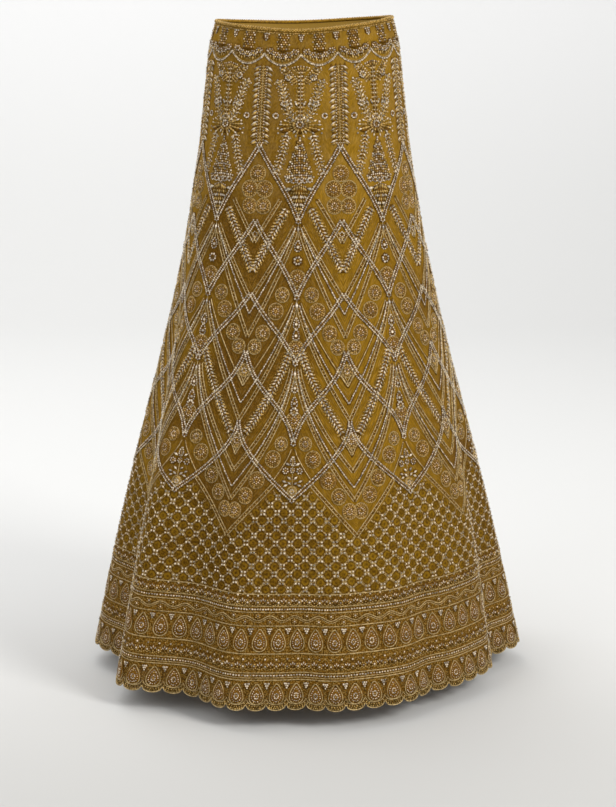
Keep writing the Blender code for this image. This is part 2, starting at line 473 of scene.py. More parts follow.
def painted_fold_shading(nodes, colours, net, ground):
    """Painted shade and painted light in broad bands round the skirt, as over folds turned from the light and
    towards it, and small pits and glints outside the jaal.
    """
    # Painted light: the share of the ground lifted towards a lighter net where the bands face the light
    painted_light_share = (net.repeat * (math.pi * 0.75) + net.cloud * 1.6 - 1.2).wave() * 0.5 + 0.5
    painted_shade = nodes.mix(net.fleck, opaque(colours.net_shade, 0.75), opaque(colours.net_shade, 1.5))
    painted_light = nodes.mix(net.couched, opaque(colours.net, 0.95), opaque(colours.net, 1.45))
    # Painted shade: the share of the ground taken towards the net shade where the bands are turned from the
    # light
    painted_shade_share = (1.0 - painted_light_share) * (net.inside * 0.27 - net.in_jaal * 0.37 + 0.35)
    ground = nodes.mix(painted_shade_share, ground, painted_shade)
    ground = nodes.mix(painted_light_share * (0.40 - net.in_jaal * 0.34), ground, painted_light)
    plain = 1.0 - net.in_jaal
    glint, pit = net.pits.step(0.58, 0.68), 1.0 - net.pits.step(0.36, 0.48)
    ground = nodes.mix(glint * plain * 0.16, ground, opaque(colours.pale_gold, 0.85))
    return nodes.mix(pit * plain * 0.38, ground, opaque(colours.net_shade, 0.9))


def border_ground(nodes, colours, net):
    """The closely stitched border, with specks of metal thread."""
    ground = nodes.mix(net.fleck, opaque(colours.worked, 0.45), opaque(colours.worked, 1.05))
    speck = nodes.noise(net.thread, 430.0, 0.0).step(0.52, 0.60)
    return nodes.mix(speck * 0.55, ground, opaque(colours.gold, 0.75))


def net_material(colours):
    """Fine mustard net over satin: its grounds from the waist to the hem, its weave, and its holes."""
    material, nodes, shader = new_material("embroidered_net", Roughness=0.75, Specular_IOR_Level=0.02)
    net = read_net(nodes)
    ground = nodes.mix(net.inside, bare_ground(nodes, colours, net), inner_ground(nodes, colours, net))
    ground = nodes.mix(net.in_jaal, ground, jaal_ground(nodes, colours, net))
    ground = painted_fold_shading(nodes, colours, net, ground)
    in_border = net.drop.step(JAAL_BOTTOM - 0.001, JAAL_BOTTOM + 0.001)
    ground = nodes.mix(in_border, ground, border_ground(nodes, colours, net))

    across = nodes.add("ShaderNodeSeparateXYZ", {}, {0: net.thread})
    down = nodes.other(across, "Y")
    weave = (across * (math.tau / WEAVE_PITCH)).wave() * (down * (math.tau / WEAVE_PITCH)).wave()
    lining_hem = SKIRT_LENGTH - LINING_HEM_RISE
    hole = weave.step(0.0, 0.5) * net.drop.step(lining_hem - 0.002, lining_hem + 0.002)
    bump = nodes.bump(0.5, 0.0008, weave * 0.2 + net.fleck * net.inside)
    feed(nodes, shader, Base_Color=ground, Normal=bump, Alpha=1.0 - hole * 0.6)
    return material


def lining_material(colours):
    """Mustard satin with faint pulls along its threads."""
    material, nodes, shader = new_material("lining", Specular_IOR_Level=0.3)
    thread = nodes.add("ShaderNodeUVMap", {"uv_map": "weave"})
    pulled = nodes.add("ShaderNodeMapping", {}, {"Vector": thread, "Scale": (1.0, 0.06, 1.0)})
    pull = nodes.noise(pulled, 700.0, 2.0).step(0.3, 0.7)
    broad = nodes.noise(thread, 6.0, 2.0).step(0.3, 0.7)
    colour = nodes.mix(pull * 0.4 + broad * 0.3, opaque(colours.lining, 0.75), opaque(colours.lining, 1.1))
    bump = nodes.bump(0.2, 0.0003, pull)
    feed(nodes, shader, Base_Color=colour, Roughness=0.32 + pull * 0.15, Normal=bump)
    return material


def thread_material(colours):
    """Couched gold thread: a twisted metal wrap, brighter and duller along its length."""
    material, nodes, shader = new_material("gold_thread", Metallic=0.3)
    place = nodes.add("ShaderNodeTexCoord", {}, {}, "Object")
    twist = nodes.noise(place, 380.0, 1.0).step(0.4, 0.6)
    wear = nodes.noise(place, 60.0, 2.0).step(0.3, 0.7)
    colour = nodes.mix(twist * 0.7 + wear * 0.3, opaque(colours.gold, 0.4), opaque(colours.pale_gold))
    bump = nodes.bump(0.5, 0.0003, twist)
    feed(nodes, shader, Base_Color=colour, Roughness=0.34 + twist * 0.12, Normal=bump)
    return material


def padding_and_shadow_material(colours):
    """Brown stitches under the rows of beads, whose dark colour also stands as painted shadow round them."""
    material, nodes, shader = new_material("padding_stitches", Specular_IOR_Level=0.05)
    place = nodes.add("ShaderNodeTexCoord", {}, {}, "Object")
    stitch = nodes.noise(place, 600.0, 1.0).step(0.4, 0.65)
    colour = nodes.mix(stitch * 0.7, opaque(colours.padding_shadow), opaque(colours.padding_shadow, 2.2))
    bump = nodes.bump(0.6, 0.0004, stitch)
    feed(nodes, shader, Base_Color=colour, Roughness=0.7 - stitch * 0.15, Normal=bump)
    return material


def binding_material(colours):
    """The strip of mustard satin rolled round the waist, with fine puckers."""
    material, nodes, shader = new_material("rolled_satin", Specular_IOR_Level=0.2)
    place = nodes.add("ShaderNodeTexCoord", {}, {}, "Object")
    pucker = nodes.noise(place, 420.0, 2.0).step(0.35, 0.65)
    colour = nodes.mix(pucker, opaque(colours.net, 0.75), opaque(colours.net, 1.5))
    bump = nodes.bump(0.5, 0.0004, pucker)
    feed(nodes, shader, Base_Color=colour, Roughness=0.55 - pucker * 0.15, Normal=bump)
    return material


def bead_material(name, colour, low, high):
    """Small beads, each a little lighter or darker than its neighbours."""
    material, nodes, shader = new_material(name, Metallic=0.4)
    tone = nodes.add("ShaderNodeAttribute", {"attribute_name": "tone"}, {}, "Fac")
    colour = nodes.mix(tone, opaque(colour, low), opaque(colour, high))
    feed(nodes, shader, Base_Color=colour, Roughness=0.22 + tone * 0.2)
    return material


# Each kind's faces: how many go round it, and how many rings of them there are
Kind = namedtuple("Kind", "name material around rings")
SILVER = Kind("silver bead", "silver_beads", 5, 2)
GOLD = Kind("gold bead", "gold_beads", 5, 2)
LEAF = Kind("silver leaf", "silver_beads", 4, 2)
GOLD_LEAF = Kind("gold leaf", "gold_beads", 4, 2)
CUP = Kind("cup sequin", "silver_beads", 6, 1)
# Pads and stitches under the beads: dark also as painted shadow round the beads
SHADOW_PAD = Kind("round pad", "padding_stitches", 10, 3)
SHADOW_BED = Kind("padding stitch", "padding_stitches", 6, 2)


def template_mesh(kind):
    """The small closed shape that is copied for a kind: one metre in radius."""
    mesh = bmesh.new()
    if kind == CUP:
        bmesh.ops.create_cone(
            mesh, segments=kind.around, radius1=1.0, radius2=0.8, depth=0.8, cap_ends=True
        )
        top = max(mesh.faces, key=lambda face: face.calc_center_median().z)
        bmesh.ops.inset_region(mesh, faces=[top], thickness=0.35, depth=-0.5)
    else:
        bmesh.ops.create_uvsphere(mesh, u_segments=kind.around, v_segments=kind.rings, radius=1.0)
    return finished_mesh(mesh, kind.name.replace(" ", "_"))


def finished_mesh(mesh, name):
    """A mesh from a bmesh, smooth shaded."""
    data = bpy.data.meshes.new(name)
    mesh.to_mesh(data)
    mesh.free()
    data.shade_smooth()
    return data


def copying_tree(template):
    """Geometry Nodes that put a real copy of the template on every point."""
    tree = bpy.data.node_groups.new("copies of " + template.name, "GeometryNodeTree")
    tree.interface.new_socket("Geometry", in_out="INPUT", socket_type="NodeSocketGeometry")
    tree.interface.new_socket("Geometry", in_out="OUTPUT", socket_type="NodeSocketGeometry")
    nodes = Nodes(tree)
    points = nodes.add("NodeGroupInput")
    vectors = {
        name: nodes.add("GeometryNodeInputNamedAttribute", {"data_type": "FLOAT_VECTOR"}, {"Name": name})
        for name in ("outward", "heading", "size")
    }
    turned = nodes.add("FunctionNodeAlignRotationToVector", {"axis": "Z"}, {"Vector": vectors["outward"]})
    turned = nodes.add(
        "FunctionNodeAlignRotationToVector",
        {"axis": "Y", "pivot_axis": "Z"},
        {"Rotation": turned, "Vector": vectors["heading"]},
    )
    shape = nodes.add("GeometryNodeObjectInfo", {}, {"Object": template}, "Geometry")
    laid = nodes.add(
        "GeometryNodeInstanceOnPoints",
        {},
        {"Points": points, "Instance": shape, "Rotation": turned, "Scale": vectors["size"]},
    )
    laid = nodes.add("GeometryNodeRealizeInstances", {}, {0: laid})
    for name in vectors:
        laid = nodes.add("GeometryNodeRemoveAttribute", {}, {0: laid, "Name": name})
    nodes.add("NodeGroupOutput", {}, {0: laid})
    return tree


Copies = namedtuple("Copies", "points outward heading size")

# How far handwork strays: metres along the cloth, radians, and a share of the size
HAND_SHIFT = 0.0002
HAND_TURN = 0.08
HAND_SIZE = 0.07

# How flat beads and leaves are, and the share of its half height at which a copy's centre lies
FLATNESS = 0.8
LAID_AT = 0.55
# The height of the stitched pads that also stand as painted shadow
SHADOW_BED_RISE = 0.0004


class Embroidery:
    """Gathers the beads, leaves and threads of one piece, and makes the piece."""

    def __init__(self, name, sizes, seed):
        self.name = name
        self.bead = sizes.bead
        self.thread = sizes.thread
        self.random = np.random.default_rng(seed)
        self.copies = {}
        self.threads = {}

    def lay(self, kind, repeat, drop, size, turn=0.0, lift=0.0, mirror=False):
        """Lays copies at places of one repeat, on every repeat. A turn of 0 heads down, pi/2 right."""
        repeat, drop, turn = np.broadcast_arrays(*map(np.atleast_1d, (repeat, drop, turn)))
        size = np.broadcast_to(np.asarray(size, float), (len(repeat), 3))
        if mirror:
            repeat, drop, turn = np.r_[repeat, -repeat], np.r_[drop, drop], np.r_[turn, -turn]
            size = np.r_[size, size]
        all_round = (np.arange(REPEATS)[:, None] + repeat).ravel()
        drop, turn = np.tile(drop, REPEATS), np.tile(turn, REPEATS)
        count = len(drop)
        uneven = self.random.normal(0.0, 1.0, (4, count))
        drop = drop + uneven[0] * HAND_SHIFT
        all_round = all_round + uneven[1] * HAND_SHIFT / CLOTH.width(drop)
        turn = turn + uneven[2] * HAND_TURN
        size = np.tile(size, (REPEATS, 1)) * (1.0 + HAND_SIZE * uneven[3])[:, None]
        normal, right, down = CLOTH.axes(all_round, drop)
        heading = down * np.cos(turn)[:, None] + right * np.sin(turn)[:, None]
        points = CLOTH.point(all_round, drop) + normal * (size[:, 2] * LAID_AT + lift)[:, None]
        self.add(kind, Copies(points, normal, heading, size))

    def add(self, kind, copies):
        """Keeps copies whose places and directions are worked out already."""
        self.copies.setdefault(kind, []).append(copies)

    def bead_at(self, kind, repeat, drop, scale=1.0, lift=0.0, mirror=False):
        """Single beads."""
        r = self.bead * scale
        self.lay(kind, repeat, drop, (r, r, r * FLATNESS), 0.0, lift, mirror)

    def shadow_bed(self, line, half_width, side=0.0, mirror=False, pitch=0.0085):
        """Overlapping stitches under a row, whose darkening of the ground there is also painted shadow round
        its beads.
        """
        repeat, drop, turn = evenly(line, pitch)
        repeat, drop = beside(repeat, drop, turn, side)
        self.lay(SHADOW_BED, repeat, drop, (half_width, pitch * 0.8, SHADOW_BED_RISE), turn, 0.0, mirror)

    def shadow_patch(self, repeat, drop, half_width, half_height, mirror=False):
        """One round or oval pad of stitches, dark also as painted shadow round what lies on it."""
        self.lay(SHADOW_BED, repeat, drop, (half_width, half_height, SHADOW_BED_RISE), 0.0, 0.0, mirror)

    def beads(self, line, pitch, kind=SILVER, scale=1.0, side=0.0, lift=0.0, mirror=False, long=1.0):
        """A row of beads along a line, moved to its side by a distance."""
        repeat, drop, turn = evenly(line, pitch)
        repeat, drop = beside(repeat, drop, turn, side)
        r = self.bead * scale
        self.lay(kind, repeat, drop, (r, r * long, r * FLATNESS), turn, lift, mirror)

    def leaves(self, line, pitch, reach, width, slant, kind=LEAF, side=0.0, mirror=False):
        """A row of slanting leaves along a line, on one side of it."""
        repeat, drop, turn = evenly(line, pitch)
        repeat, drop = beside(repeat, drop, turn, side)
        self.lay(kind, repeat, drop, (width, reach, width * FLATNESS), turn + slant, 0.0, mirror)

    def wire(self, line, scale=1.0, side=0.0, pitch=0.009, closed=False, lift=0.0, mirror=False):
        """A couched thread along a line, on every repeat."""
        repeat, drop, turn = evenly(line, pitch, ends=not closed)
        repeat, drop = beside(repeat, drop, turn, side)
        radius = self.thread * scale
        for way in (1, -1) if mirror else (1,):
            for shift in range(REPEATS):
                normal, _, _ = CLOTH.axes(way * repeat + shift, drop)
                points = CLOTH.point(way * repeat + shift, drop) + normal * (radius * 0.5 + lift)
                self.threads.setdefault(radius, []).append((points, closed))

    def girdle(self, drop_of, scale=1.0, steps=36, lift=0.0):
        """A couched thread all round the skirt, at a drop that may vary along a repeat."""
        repeat = np.arange(REPEATS * steps) / steps
        drop = drop_of(repeat) if callable(drop_of) else np.full(len(repeat), drop_of)
        normal, _, _ = CLOTH.axes(repeat, drop)
        radius = self.thread * scale
        points = CLOTH.point(repeat, drop) + normal * (radius * 0.5 + lift)
        self.threads.setdefault(radius, []).append((points, True))

    def bead_girdle(self, drop_of, per_repeat, kind=SILVER, scale=1.0, lift=0.0, long=1.0, phase=0.5):
        """Beads all round the skirt, a number to each repeat."""
        repeat = (np.arange(per_repeat) + phase) / per_repeat
        drop = drop_of(repeat) if callable(drop_of) else np.full(len(repeat), drop_of)
        r = self.bead * scale
        self.lay(kind, repeat, drop, (r, r * long, r * FLATNESS), math.pi / 2, lift)

    def ring(self, repeat, drop, radius, count, kind=SILVER, scale=1.0, lift=0.0, tall=1.0, mirror=False):
        """Rings of beads round places."""
        around = np.arange(count) * math.tau / count
        repeat, drop = np.broadcast_arrays(np.atleast_1d(repeat), drop)
        right, down = radius * np.sin(around), radius * tall * np.cos(around)
        places = offset(repeat[:, None], drop[:, None], right, down)
        r = self.bead * scale
        turns = np.tile(around, len(repeat))
        size = (r, r, r * FLATNESS)
        self.lay(kind, places[0].ravel(), places[1].ravel(), size, turns, lift, mirror)

    def flower(self, repeat, drop, reach, petals, mirror=False, kind=LEAF):
        """A flower: a gold bead in a ring of petals, on a padded ground that also stands as painted shadow
        round it.
        """
        around = (np.arange(petals) + 0.5) * math.tau / petals
        places = offset(repeat, drop, reach * 0.66 * np.sin(around), reach * 0.66 * np.cos(around))
        self.shadow_patch(repeat, drop, reach * 1.15, reach * 1.15, mirror)
        self.lay(kind, *places, (reach * 0.25, reach * 0.28, reach * 0.2), around, 0.0006, mirror)
        self.bead_at(GOLD, repeat, drop, 1.0, 0.0003, mirror)

    def make(self, sewn_on=()):
        """One joined mesh of all that was gathered, and of what it is sewn on, riding on the skirt."""
        parts = list(sewn_on)
        for kind, gathered in self.copies.items():
            copies = Copies(*(np.concatenate(values) for values in zip(*gathered)))
            parts.append(copies_object(self.name, kind, copies, self.random))
        for radius, lines in self.threads.items():
            parts.append(threads_object(self.name, radius, lines))
        joined = join(parts, self.name)
        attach(joined, "root")
        return joined


def copies_object(name, kind, copies, random):
    """An object of real copies of one kind, made with Geometry Nodes."""
    template = bpy.data.objects.new(kind.name, template_mesh(kind))
    template.data.materials.append(bpy.data.materials[kind.material])
    data = bpy.data.meshes.new(name)
    data.vertices.add(len(copies.points))
    data.vertices.foreach_set("co", copies.points.astype(np.float32).ravel())
    for field in ("outward", "heading", "size"):
        attribute = data.attributes.new(field, "FLOAT_VECTOR", "POINT")
        attribute.data.foreach_set("vector", getattr(copies, field).astype(np.float32).ravel())
    tone = data.attributes.new("tone", "FLOAT", "POINT")
    tone.data.foreach_set("value", random.random(len(copies.points)).astype(np.float32))
    holder = bpy.data.objects.new(name, data)
    bpy.context.scene.collection.objects.link(holder)
    holder.modifiers.new("Copies", "NODES").node_group = copying_tree(template)
    return applied(holder, [template])


def threads_object(name, radius, lines, finish="gold_thread", roundness=0):
    """An object of round threads or cords of one radius."""
    curve = bpy.data.curves.new(name, "CURVE")
    curve.dimensions = "3D"
    curve.bevel_depth = radius
    curve.bevel_resolution = roundness
    curve.use_fill_caps = True
    for points, closed in lines:
        spline = curve.splines.new("POLY")
        spline.points.add(len(points) - 1)
        spline.points.foreach_set("co", np.c_[points, np.ones(len(points))].ravel())
        spline.use_cyclic_u = closed
        spline.use_smooth = True
    curve.materials.append(bpy.data.materials[finish])
    holder = bpy.data.objects.new(name, curve)
    bpy.context.scene.collection.objects.link(holder)
    return applied(holder, [])


def applied(holder, spent):
    """A plain mesh object in place of one with modifiers or of a curve."""
    seen = bpy.context.evaluated_depsgraph_get()
    data = bpy.data.meshes.new_from_object(holder.evaluated_get(seen))
    made = bpy.data.objects.new(holder.name + "_made", data)
    bpy.context.scene.collection.objects.link(made)
    for old in [holder, *spent]:
        bpy.data.objects.remove(old)
    return made


def join(parts, name):
    """One object from several."""
    with bpy.context.temp_override(
        active_object=parts[0], object=parts[0], selected_editable_objects=parts, selected_objects=parts
    ):
        bpy.ops.object.join()
    parts[0].name = name
    parts[0].data.name = name
    return parts[0]


def offset(repeat, drop, right, down=0.0):
    """Places moved right and down by distances."""
    moved = np.asarray(drop, float) + down
    return repeat + np.asarray(right, float) / CLOTH.width(moved), moved


def evenly(line, pitch, ends=False):
    """Even places along a line of (repeat, drop) points, and the way it heads at each."""
    repeat, drop = np.asarray(line, float).T
    legs = np.hypot(np.diff(repeat) * CLOTH.width((drop[1:] + drop[:-1]) / 2), np.diff(drop))
    along = np.r_[0.0, np.cumsum(legs)]
    count = max(2, round(along[-1] / pitch))
    wanted = np.linspace(0.0, along[-1], count + 1) if ends else (np.arange(count) + 0.5) / count * along[-1]
    found, level = np.interp(wanted, along, repeat), np.interp(wanted, along, drop)
    turn = np.arctan2(np.gradient(found) * CLOTH.width(level), np.gradient(level))
    return found, level, turn


def beside(repeat, drop, turn, side):
    """Places moved to the side of the way they head."""
    return offset(repeat, drop, side * np.cos(turn), -side * np.sin(turn))


def bend(start, end, sag=0.0, sway=0.0, slow=1.0, count=24):
    """A line between two places, in repeats: it bellies out, sways like an S, or starts off steeply."""
    share = np.linspace(0.0, 1.0, count + 1)
    swayed = share**slow - sway * np.sin(math.tau * share) / math.tau
    repeat = start[0] + (end[0] - start[0]) * swayed + sag * np.sin(math.pi * share)
    return np.c_[repeat, start[1] + (end[1] - start[1]) * share]


def drop_shape(repeat, drop, half_width, half_height, count=24):
    """The outline of a drop with its point upwards."""
    around = np.linspace(0.0, math.tau, count + 1)
    right = half_width * 1.25 * np.sin(around) * np.sin(around / 2) ** 1.1
    return np.c_[offset(repeat, drop, right, -half_height * np.cos(around))]


# The ogees' tiers: the drops of the points and of the places where two meet, and the arches' bends
Tier = namedtuple("Tier", "apex meet sag sway slow")
TIERS = (
    Tier(0.185, 0.297, -0.024, 0.10, 1.0),
    Tier(0.297, 0.411, -0.024, 0.12, 1.0),
    Tier(0.407, 0.509, -0.020, 0.20, 1.0),
    Tier(0.494, 0.628, -0.012, 0.50, 1.0),
    Tier(0.597, 0.713, 0.0, 0.10, 1.55),
)

# Straight rows inside the ogees: each runs from one place to another and is mirrored
Row = namedtuple("Row", "finish from_repeat from_drop to_repeat to_drop slow")
ROWS = (
    Row("double gold", 0.215, 0.266, 0.5, 0.330, 1.0),
    Row("leaves", 0.140, 0.279, 0.5, 0.374, 1.0),
    Row("double gold", 0.040, 0.305, 0.5, 0.416, 1.05),
    Row("silver", 0.030, 0.308, 0.5, 0.438, 1.05),
    Row("double gold", 0.020, 0.312, 0.5, 0.472, 1.1),
    Row("gold", 0.045, 0.420, 0.5, 0.546, 1.15),
    Row("silver", 0.030, 0.423, 0.5, 0.572, 1.2),
    Row("double gold", 0.020, 0.426, 0.5, 0.597, 1.2),
    Row("leaves", 0.060, 0.494, 0.43, 0.617, 1.2),
    Row("double gold", 0.040, 0.518, 0.5, 0.673, 1.45),
    Row("silver", 0.028, 0.521, 0.5, 0.697, 1.5),
    Row("double gold", 0.018, 0.524, 0.5, 0.716, 1.5),
    Row("gold", 0.015, 0.638, 0.155, 0.684, 1.4),
    Row("double gold", 0.150, 0.690, 0.5, 0.769, 1.0),
)

# Roundels, by the repeat column they lie beside: right is the distance to each side of it
Roundel = namedtuple("Roundel", "column drop right radius")
ROUNDELS = (
    Roundel(0.5, 0.2265, 0.0, 0.0125),
    Roundel(0.5, 0.2500, 0.0122, 0.0130),
    Roundel(0.5, 0.2755, 0.0112, 0.0121),
    Roundel(0.0, 0.3830, 0.0, 0.0130),
    Roundel(0.0, 0.4080, 0.0245, 0.0116),
    Roundel(0.0, 0.4330, 0.0350, 0.0128),
    Roundel(0.5, 0.4660, 0.0260, 0.0121),
    Roundel(0.5, 0.4870, 0.0140, 0.0116),
    Roundel(0.0, 0.4880, 0.0, 0.0130),
    Roundel(0.5, 0.5230, 0.0, 0.0099),
    Roundel(0.0, 0.5950, 0.0, 0.0130),
    Roundel(0.5, 0.6280, 0.0, 0.0116),
    Roundel(0.0, 0.6300, 0.0205, 0.0107),
    Roundel(0.0, 0.6530, 0.0340, 0.0130),
    Roundel(0.5, 0.6850, 0.0430, 0.0130),
    Roundel(0.5, 0.7090, 0.0265, 0.0125),
    Roundel(0.5, 0.7320, 0.0098, 0.0121),
    Roundel(0.0, 0.7010, 0.0, 0.0081),
)

# The jaal: its columns in a repeat, the drop from a crossing to the next under it, and its extent
JAAL_PER_REPEAT = 9
JAAL_PITCH = 0.0229
JAAL_TOP = 0.700
JAAL_BOTTOM = 0.8545

# The upper edge of the jaal's ground: drops at a repeat's middle line and their slopes to the sides
JAAL_EDGE_TOP = 0.6664
JAAL_EDGE_FALL = 0.205
JAAL_POINT_TOP = 0.713
JAAL_POINT_RISE = 0.154

# The ground between the ogees: where it begins and is full, and how its threads fall to the sides
INNER_GROUND_FROM = 0.215
INNER_GROUND_BY = 0.270
INNER_ROW_FALL = 0.29

WEAVE_PITCH = 0.0017


def jaal_starts(repeat):
    """The drop at which the jaal begins: under the last ogee and the zari line beside it."""
    away = np.abs((repeat + 0.5) % 1.0 - 0.5)
    return np.where(away < 0.15, 0.722 - 0.15 * away, 0.6995 + (away - 0.15) * 0.2257)


def swags_and_rosettes(work):
    """The band under the binding: bead drops, rosettes, and swags filled with flowers."""
    work.bead_girdle(0.0022, 40, kind=GOLD, scale=0.85)
    for column in (0.0, 0.5):
        work.shadow_patch(column, 0.0080, 0.0062, 0.0068)
        for row, beads in enumerate((3, 2, 2, 1)):
            right = (np.arange(beads) - (beads - 1) / 2) * 0.0033
            work.bead_at(SILVER, *offset(column, 0.0045 + row * 0.0031, right), lift=0.0002)
    for column in (0.25, -0.25):
        work.shadow_bed([(column, 0.0030), (column, 0.0300)], 0.0100)
        for row in range(7):
            for place in range(5):
                right = (place - 2) * 0.0040 + 0.0010 * (-1) ** row
                kind = SILVER if (row * 2 + place) % 3 == 0 else GOLD
                work.bead_at(kind, *offset(column, 0.0048 + row * 0.0036, right), 0.95, lift=0.0002)
    share = np.linspace(0.0, 1.0, 17)
    for start in (0.0, 0.5):
        belly = 0.0185 * np.sin(math.pi * share) ** 0.8
        work.shadow_bed(np.c_[start + share / 2, 0.0345 + belly], 0.0020)
        work.wire(np.c_[start + share / 2, 0.0330 + belly], scale=0.7)
        work.beads(np.c_[start + share / 2, 0.0352 + belly], 0.0029, scale=1.05, lift=0.0004)
        for away in (-0.165, -0.083, 0.0, 0.083, 0.165):
            deep = 0.0300 + 0.0080 * math.cos(away * 9.0)
            column = start + 0.25 + away
            work.flower(column, deep, 0.0054, 6)
            for right, low in ((0.0, 0.0078), (0.0042, 0.0062), (-0.0042, 0.0062)):
                work.lay(GOLD_LEAF, *offset(column, deep + low, right), (0.0015, 0.0028, 0.0012))
        for away in (-0.21, -0.125, -0.042, 0.042, 0.125, 0.21):
            column, deep = start + 0.25 + away, 0.0310 + 0.0095 * math.cos(away * 8.0)
            work.shadow_patch(column, deep, 0.0034, 0.0060)
            work.bead_at(GOLD, column, deep - 0.0034, scale=0.9, lift=0.0002)
            work.bead_at(SILVER, column, deep, lift=0.0002)
            work.bead_at(GOLD, column, deep + 0.0036, scale=0.9, lift=0.0002)


def vines(work):
    """The upright vine at each side of a repeat, and small rings and leaves beside it and below it."""
    top, bottom = 0.055, 0.183
    stem = [(0.5, top), (0.5, bottom)]
    lower = [(0.5, top + 0.0026), (0.5, bottom + 0.0026)]
    work.wire(stem, scale=0.8)
    for way in (1, -1):
        # The stitched strips beside the stem are dark also as painted shade between the leaves
        work.shadow_bed(stem, 0.0026, side=way * 0.0100)
        work.shadow_bed(stem, 0.0019, side=way * 0.0036)
        work.leaves(stem, 0.0092, 0.0055, 0.0016, way * 1.0, side=way * 0.0104)
        work.leaves(lower, 0.0092, 0.0052, 0.0018, way * 1.0, kind=GOLD_LEAF, side=way * 0.0098)
        work.beads(stem, 0.0046, scale=0.85, side=way * 0.0054, lift=0.0003)
        work.beads(stem, 0.0040, kind=GOLD, scale=0.85, side=way * 0.0034, lift=0.0003)
        work.beads(stem, 0.0048, kind=GOLD, scale=0.8, side=way * 0.0014, lift=0.0003)
    work.flower(0.5, 0.1835, 0.0052, 6)
    work.shadow_patch(0.31, 0.1390, 0.0056, 0.0056, True)
    work.ring(0.31, 0.1390, 0.0038, 10, scale=0.95, lift=0.0002, mirror=True)
    work.shadow_patch(0.5, 0.3230, 0.0060, 0.0090)
    work.ring(0.5, 0.3180, 0.0034, 6, scale=0.9, lift=0.0002)
    for away in (0.0, 0.0046):
        work.lay(LEAF, *offset(0.5, 0.3262, away), (0.0014, 0.0032, 0.0011), 60 * away, 0.0, away > 0)


# The rows of a spray: the pitch is along its line, and the side is the distance from it
LeafRow = namedtuple("LeafRow", "kind pitch reach width side")
BeadRow = namedtuple("BeadRow", "kind pitch scale side lift")


def spray(work, line, padding_shadow, slant, leaf_rows, bead_rows, mirror=True):
    """Slanting leaves and beads along both sides of a line, on a padded ground that also stands as painted
    shadow round them.
    """
    work.shadow_bed(line, padding_shadow, mirror=mirror)
    for way in (1, -1):
        for row in leaf_rows:
            side = way * row.side
            work.leaves(line, row.pitch, row.reach, row.width, way * slant, row.kind, side, mirror)
        for row in bead_rows:
            side = way * row.side
            work.beads(line, row.pitch, row.kind, row.scale, side, row.lift, mirror)


def bouquets(work):
    """The bouquet, tree and lotus down the middle of each repeat."""
    trunk = [(0.0, 0.062), (0.0, 0.148)]
    leaf_rows = (LeafRow(GOLD_LEAF, 0.0064, 0.0033, 0.0014, 0.0040),)
    bead_rows = (BeadRow(SILVER, 0.0064, 0.85, 0.0020, 0.0003), BeadRow(GOLD, 0.0064, 0.75, 0.0060, 0.0002))
    spray(work, trunk, 0.0044, 2.4, leaf_rows, bead_rows, mirror=False)
    work.wire(trunk, scale=0.8)
    work.shadow_patch(0.0, 0.0590, 0.0110, 0.0050)
    for right, turn in ((0.0, math.pi), (0.0036, 2.75), (0.0072, 2.4), (0.0104, 2.1)):
        place = offset(0.0, 0.0580 + right * 0.3, right)
        work.lay(GOLD_LEAF, *place, (0.0013, 0.0044, 0.0011), turn, 0.0002, right > 0)
        work.bead_at(SILVER, *offset(0.0, 0.0540 + right * 0.3, right * 1.2), 0.85, 0.0003, right > 0)

    places = ((0.079, 0.0330), (0.095, 0.0262), (0.112, 0.0232), (0.132, 0.0185), (0.148, 0.0070))
    arm = [offset(0.0, drop, right) for drop, right in places]
    leaf_rows = (
        LeafRow(LEAF, 0.0066, 0.0034, 0.0014, 0.0032),
        LeafRow(GOLD_LEAF, 0.0050, 0.0026, 0.0012, 0.0016),
    )
    bead_rows = (BeadRow(GOLD, 0.0042, 0.8, 0.00576, 0.0002), BeadRow(SILVER, 0.0074, 0.75, 0.00768, 0.0002))
    spray(work, arm, 0.0037, 2.4, leaf_rows, bead_rows)
    work.wire(arm, scale=0.8, mirror=True)

    places = ((0.057, 0.0270), (0.068, 0.0185), (0.084, 0.0070))
    upper_arm = [offset(0.0, drop, right) for drop, right in places]
    leaf_rows = (LeafRow(GOLD_LEAF, 0.0048, 0.0030, 0.0014, 0.0028),)
    bead_rows = (BeadRow(GOLD, 0.0048, 0.8, 0.00056, 0.0002), BeadRow(SILVER, 0.0044, 0.75, 0.0056, 0.0002))
    spray(work, upper_arm, 0.0033, 2.4, leaf_rows, bead_rows)
    for level, right, reach in ((0.0740, 0.0185, 0.0062), (0.1195, 0.0235, 0.0060)):
        work.flower(*offset(0.0, level, right), reach, 8, mirror=True)
    beads = ((0.0585, 0.0300), (0.0615, 0.0245), (0.0790, 0.0345), (0.1130, 0.0145), (0.1160, 0.0075))
    for level, right in beads:
        work.bead_at(SILVER, *offset(0.0, level, right), 1.15, 0.0003, True)
    for right, turn in ((0.0060, 2.7), (0.0135, 2.3)):
        work.shadow_patch(*offset(0.0, 0.1195, right), 0.0034, 0.0042, True)
        work.lay(LEAF, *offset(0.0, 0.1195, right), (0.0018, 0.0036, 0.0015), turn, 0.0002, True)

    burst(work)
    places = ((0.168, 0.0195), (0.196, 0.0265), (0.229, 0.0375))
    leg = [offset(0.0, drop, right) for drop, right in places]
    leaf_rows = (
        LeafRow(LEAF, 0.0060, 0.0034, 0.0014, 0.0029),
        LeafRow(GOLD_LEAF, 0.0050, 0.0024, 0.0012, 0.00145),
    )
    bead_rows = (BeadRow(GOLD, 0.0044, 0.8, 0.00522, 0.0002), BeadRow(SILVER, 0.0080, 0.75, 0.00696, 0.0002))
    spray(work, leg, 0.0035, 0.85, leaf_rows, bead_rows)
    tree(work)
    lotus(work)


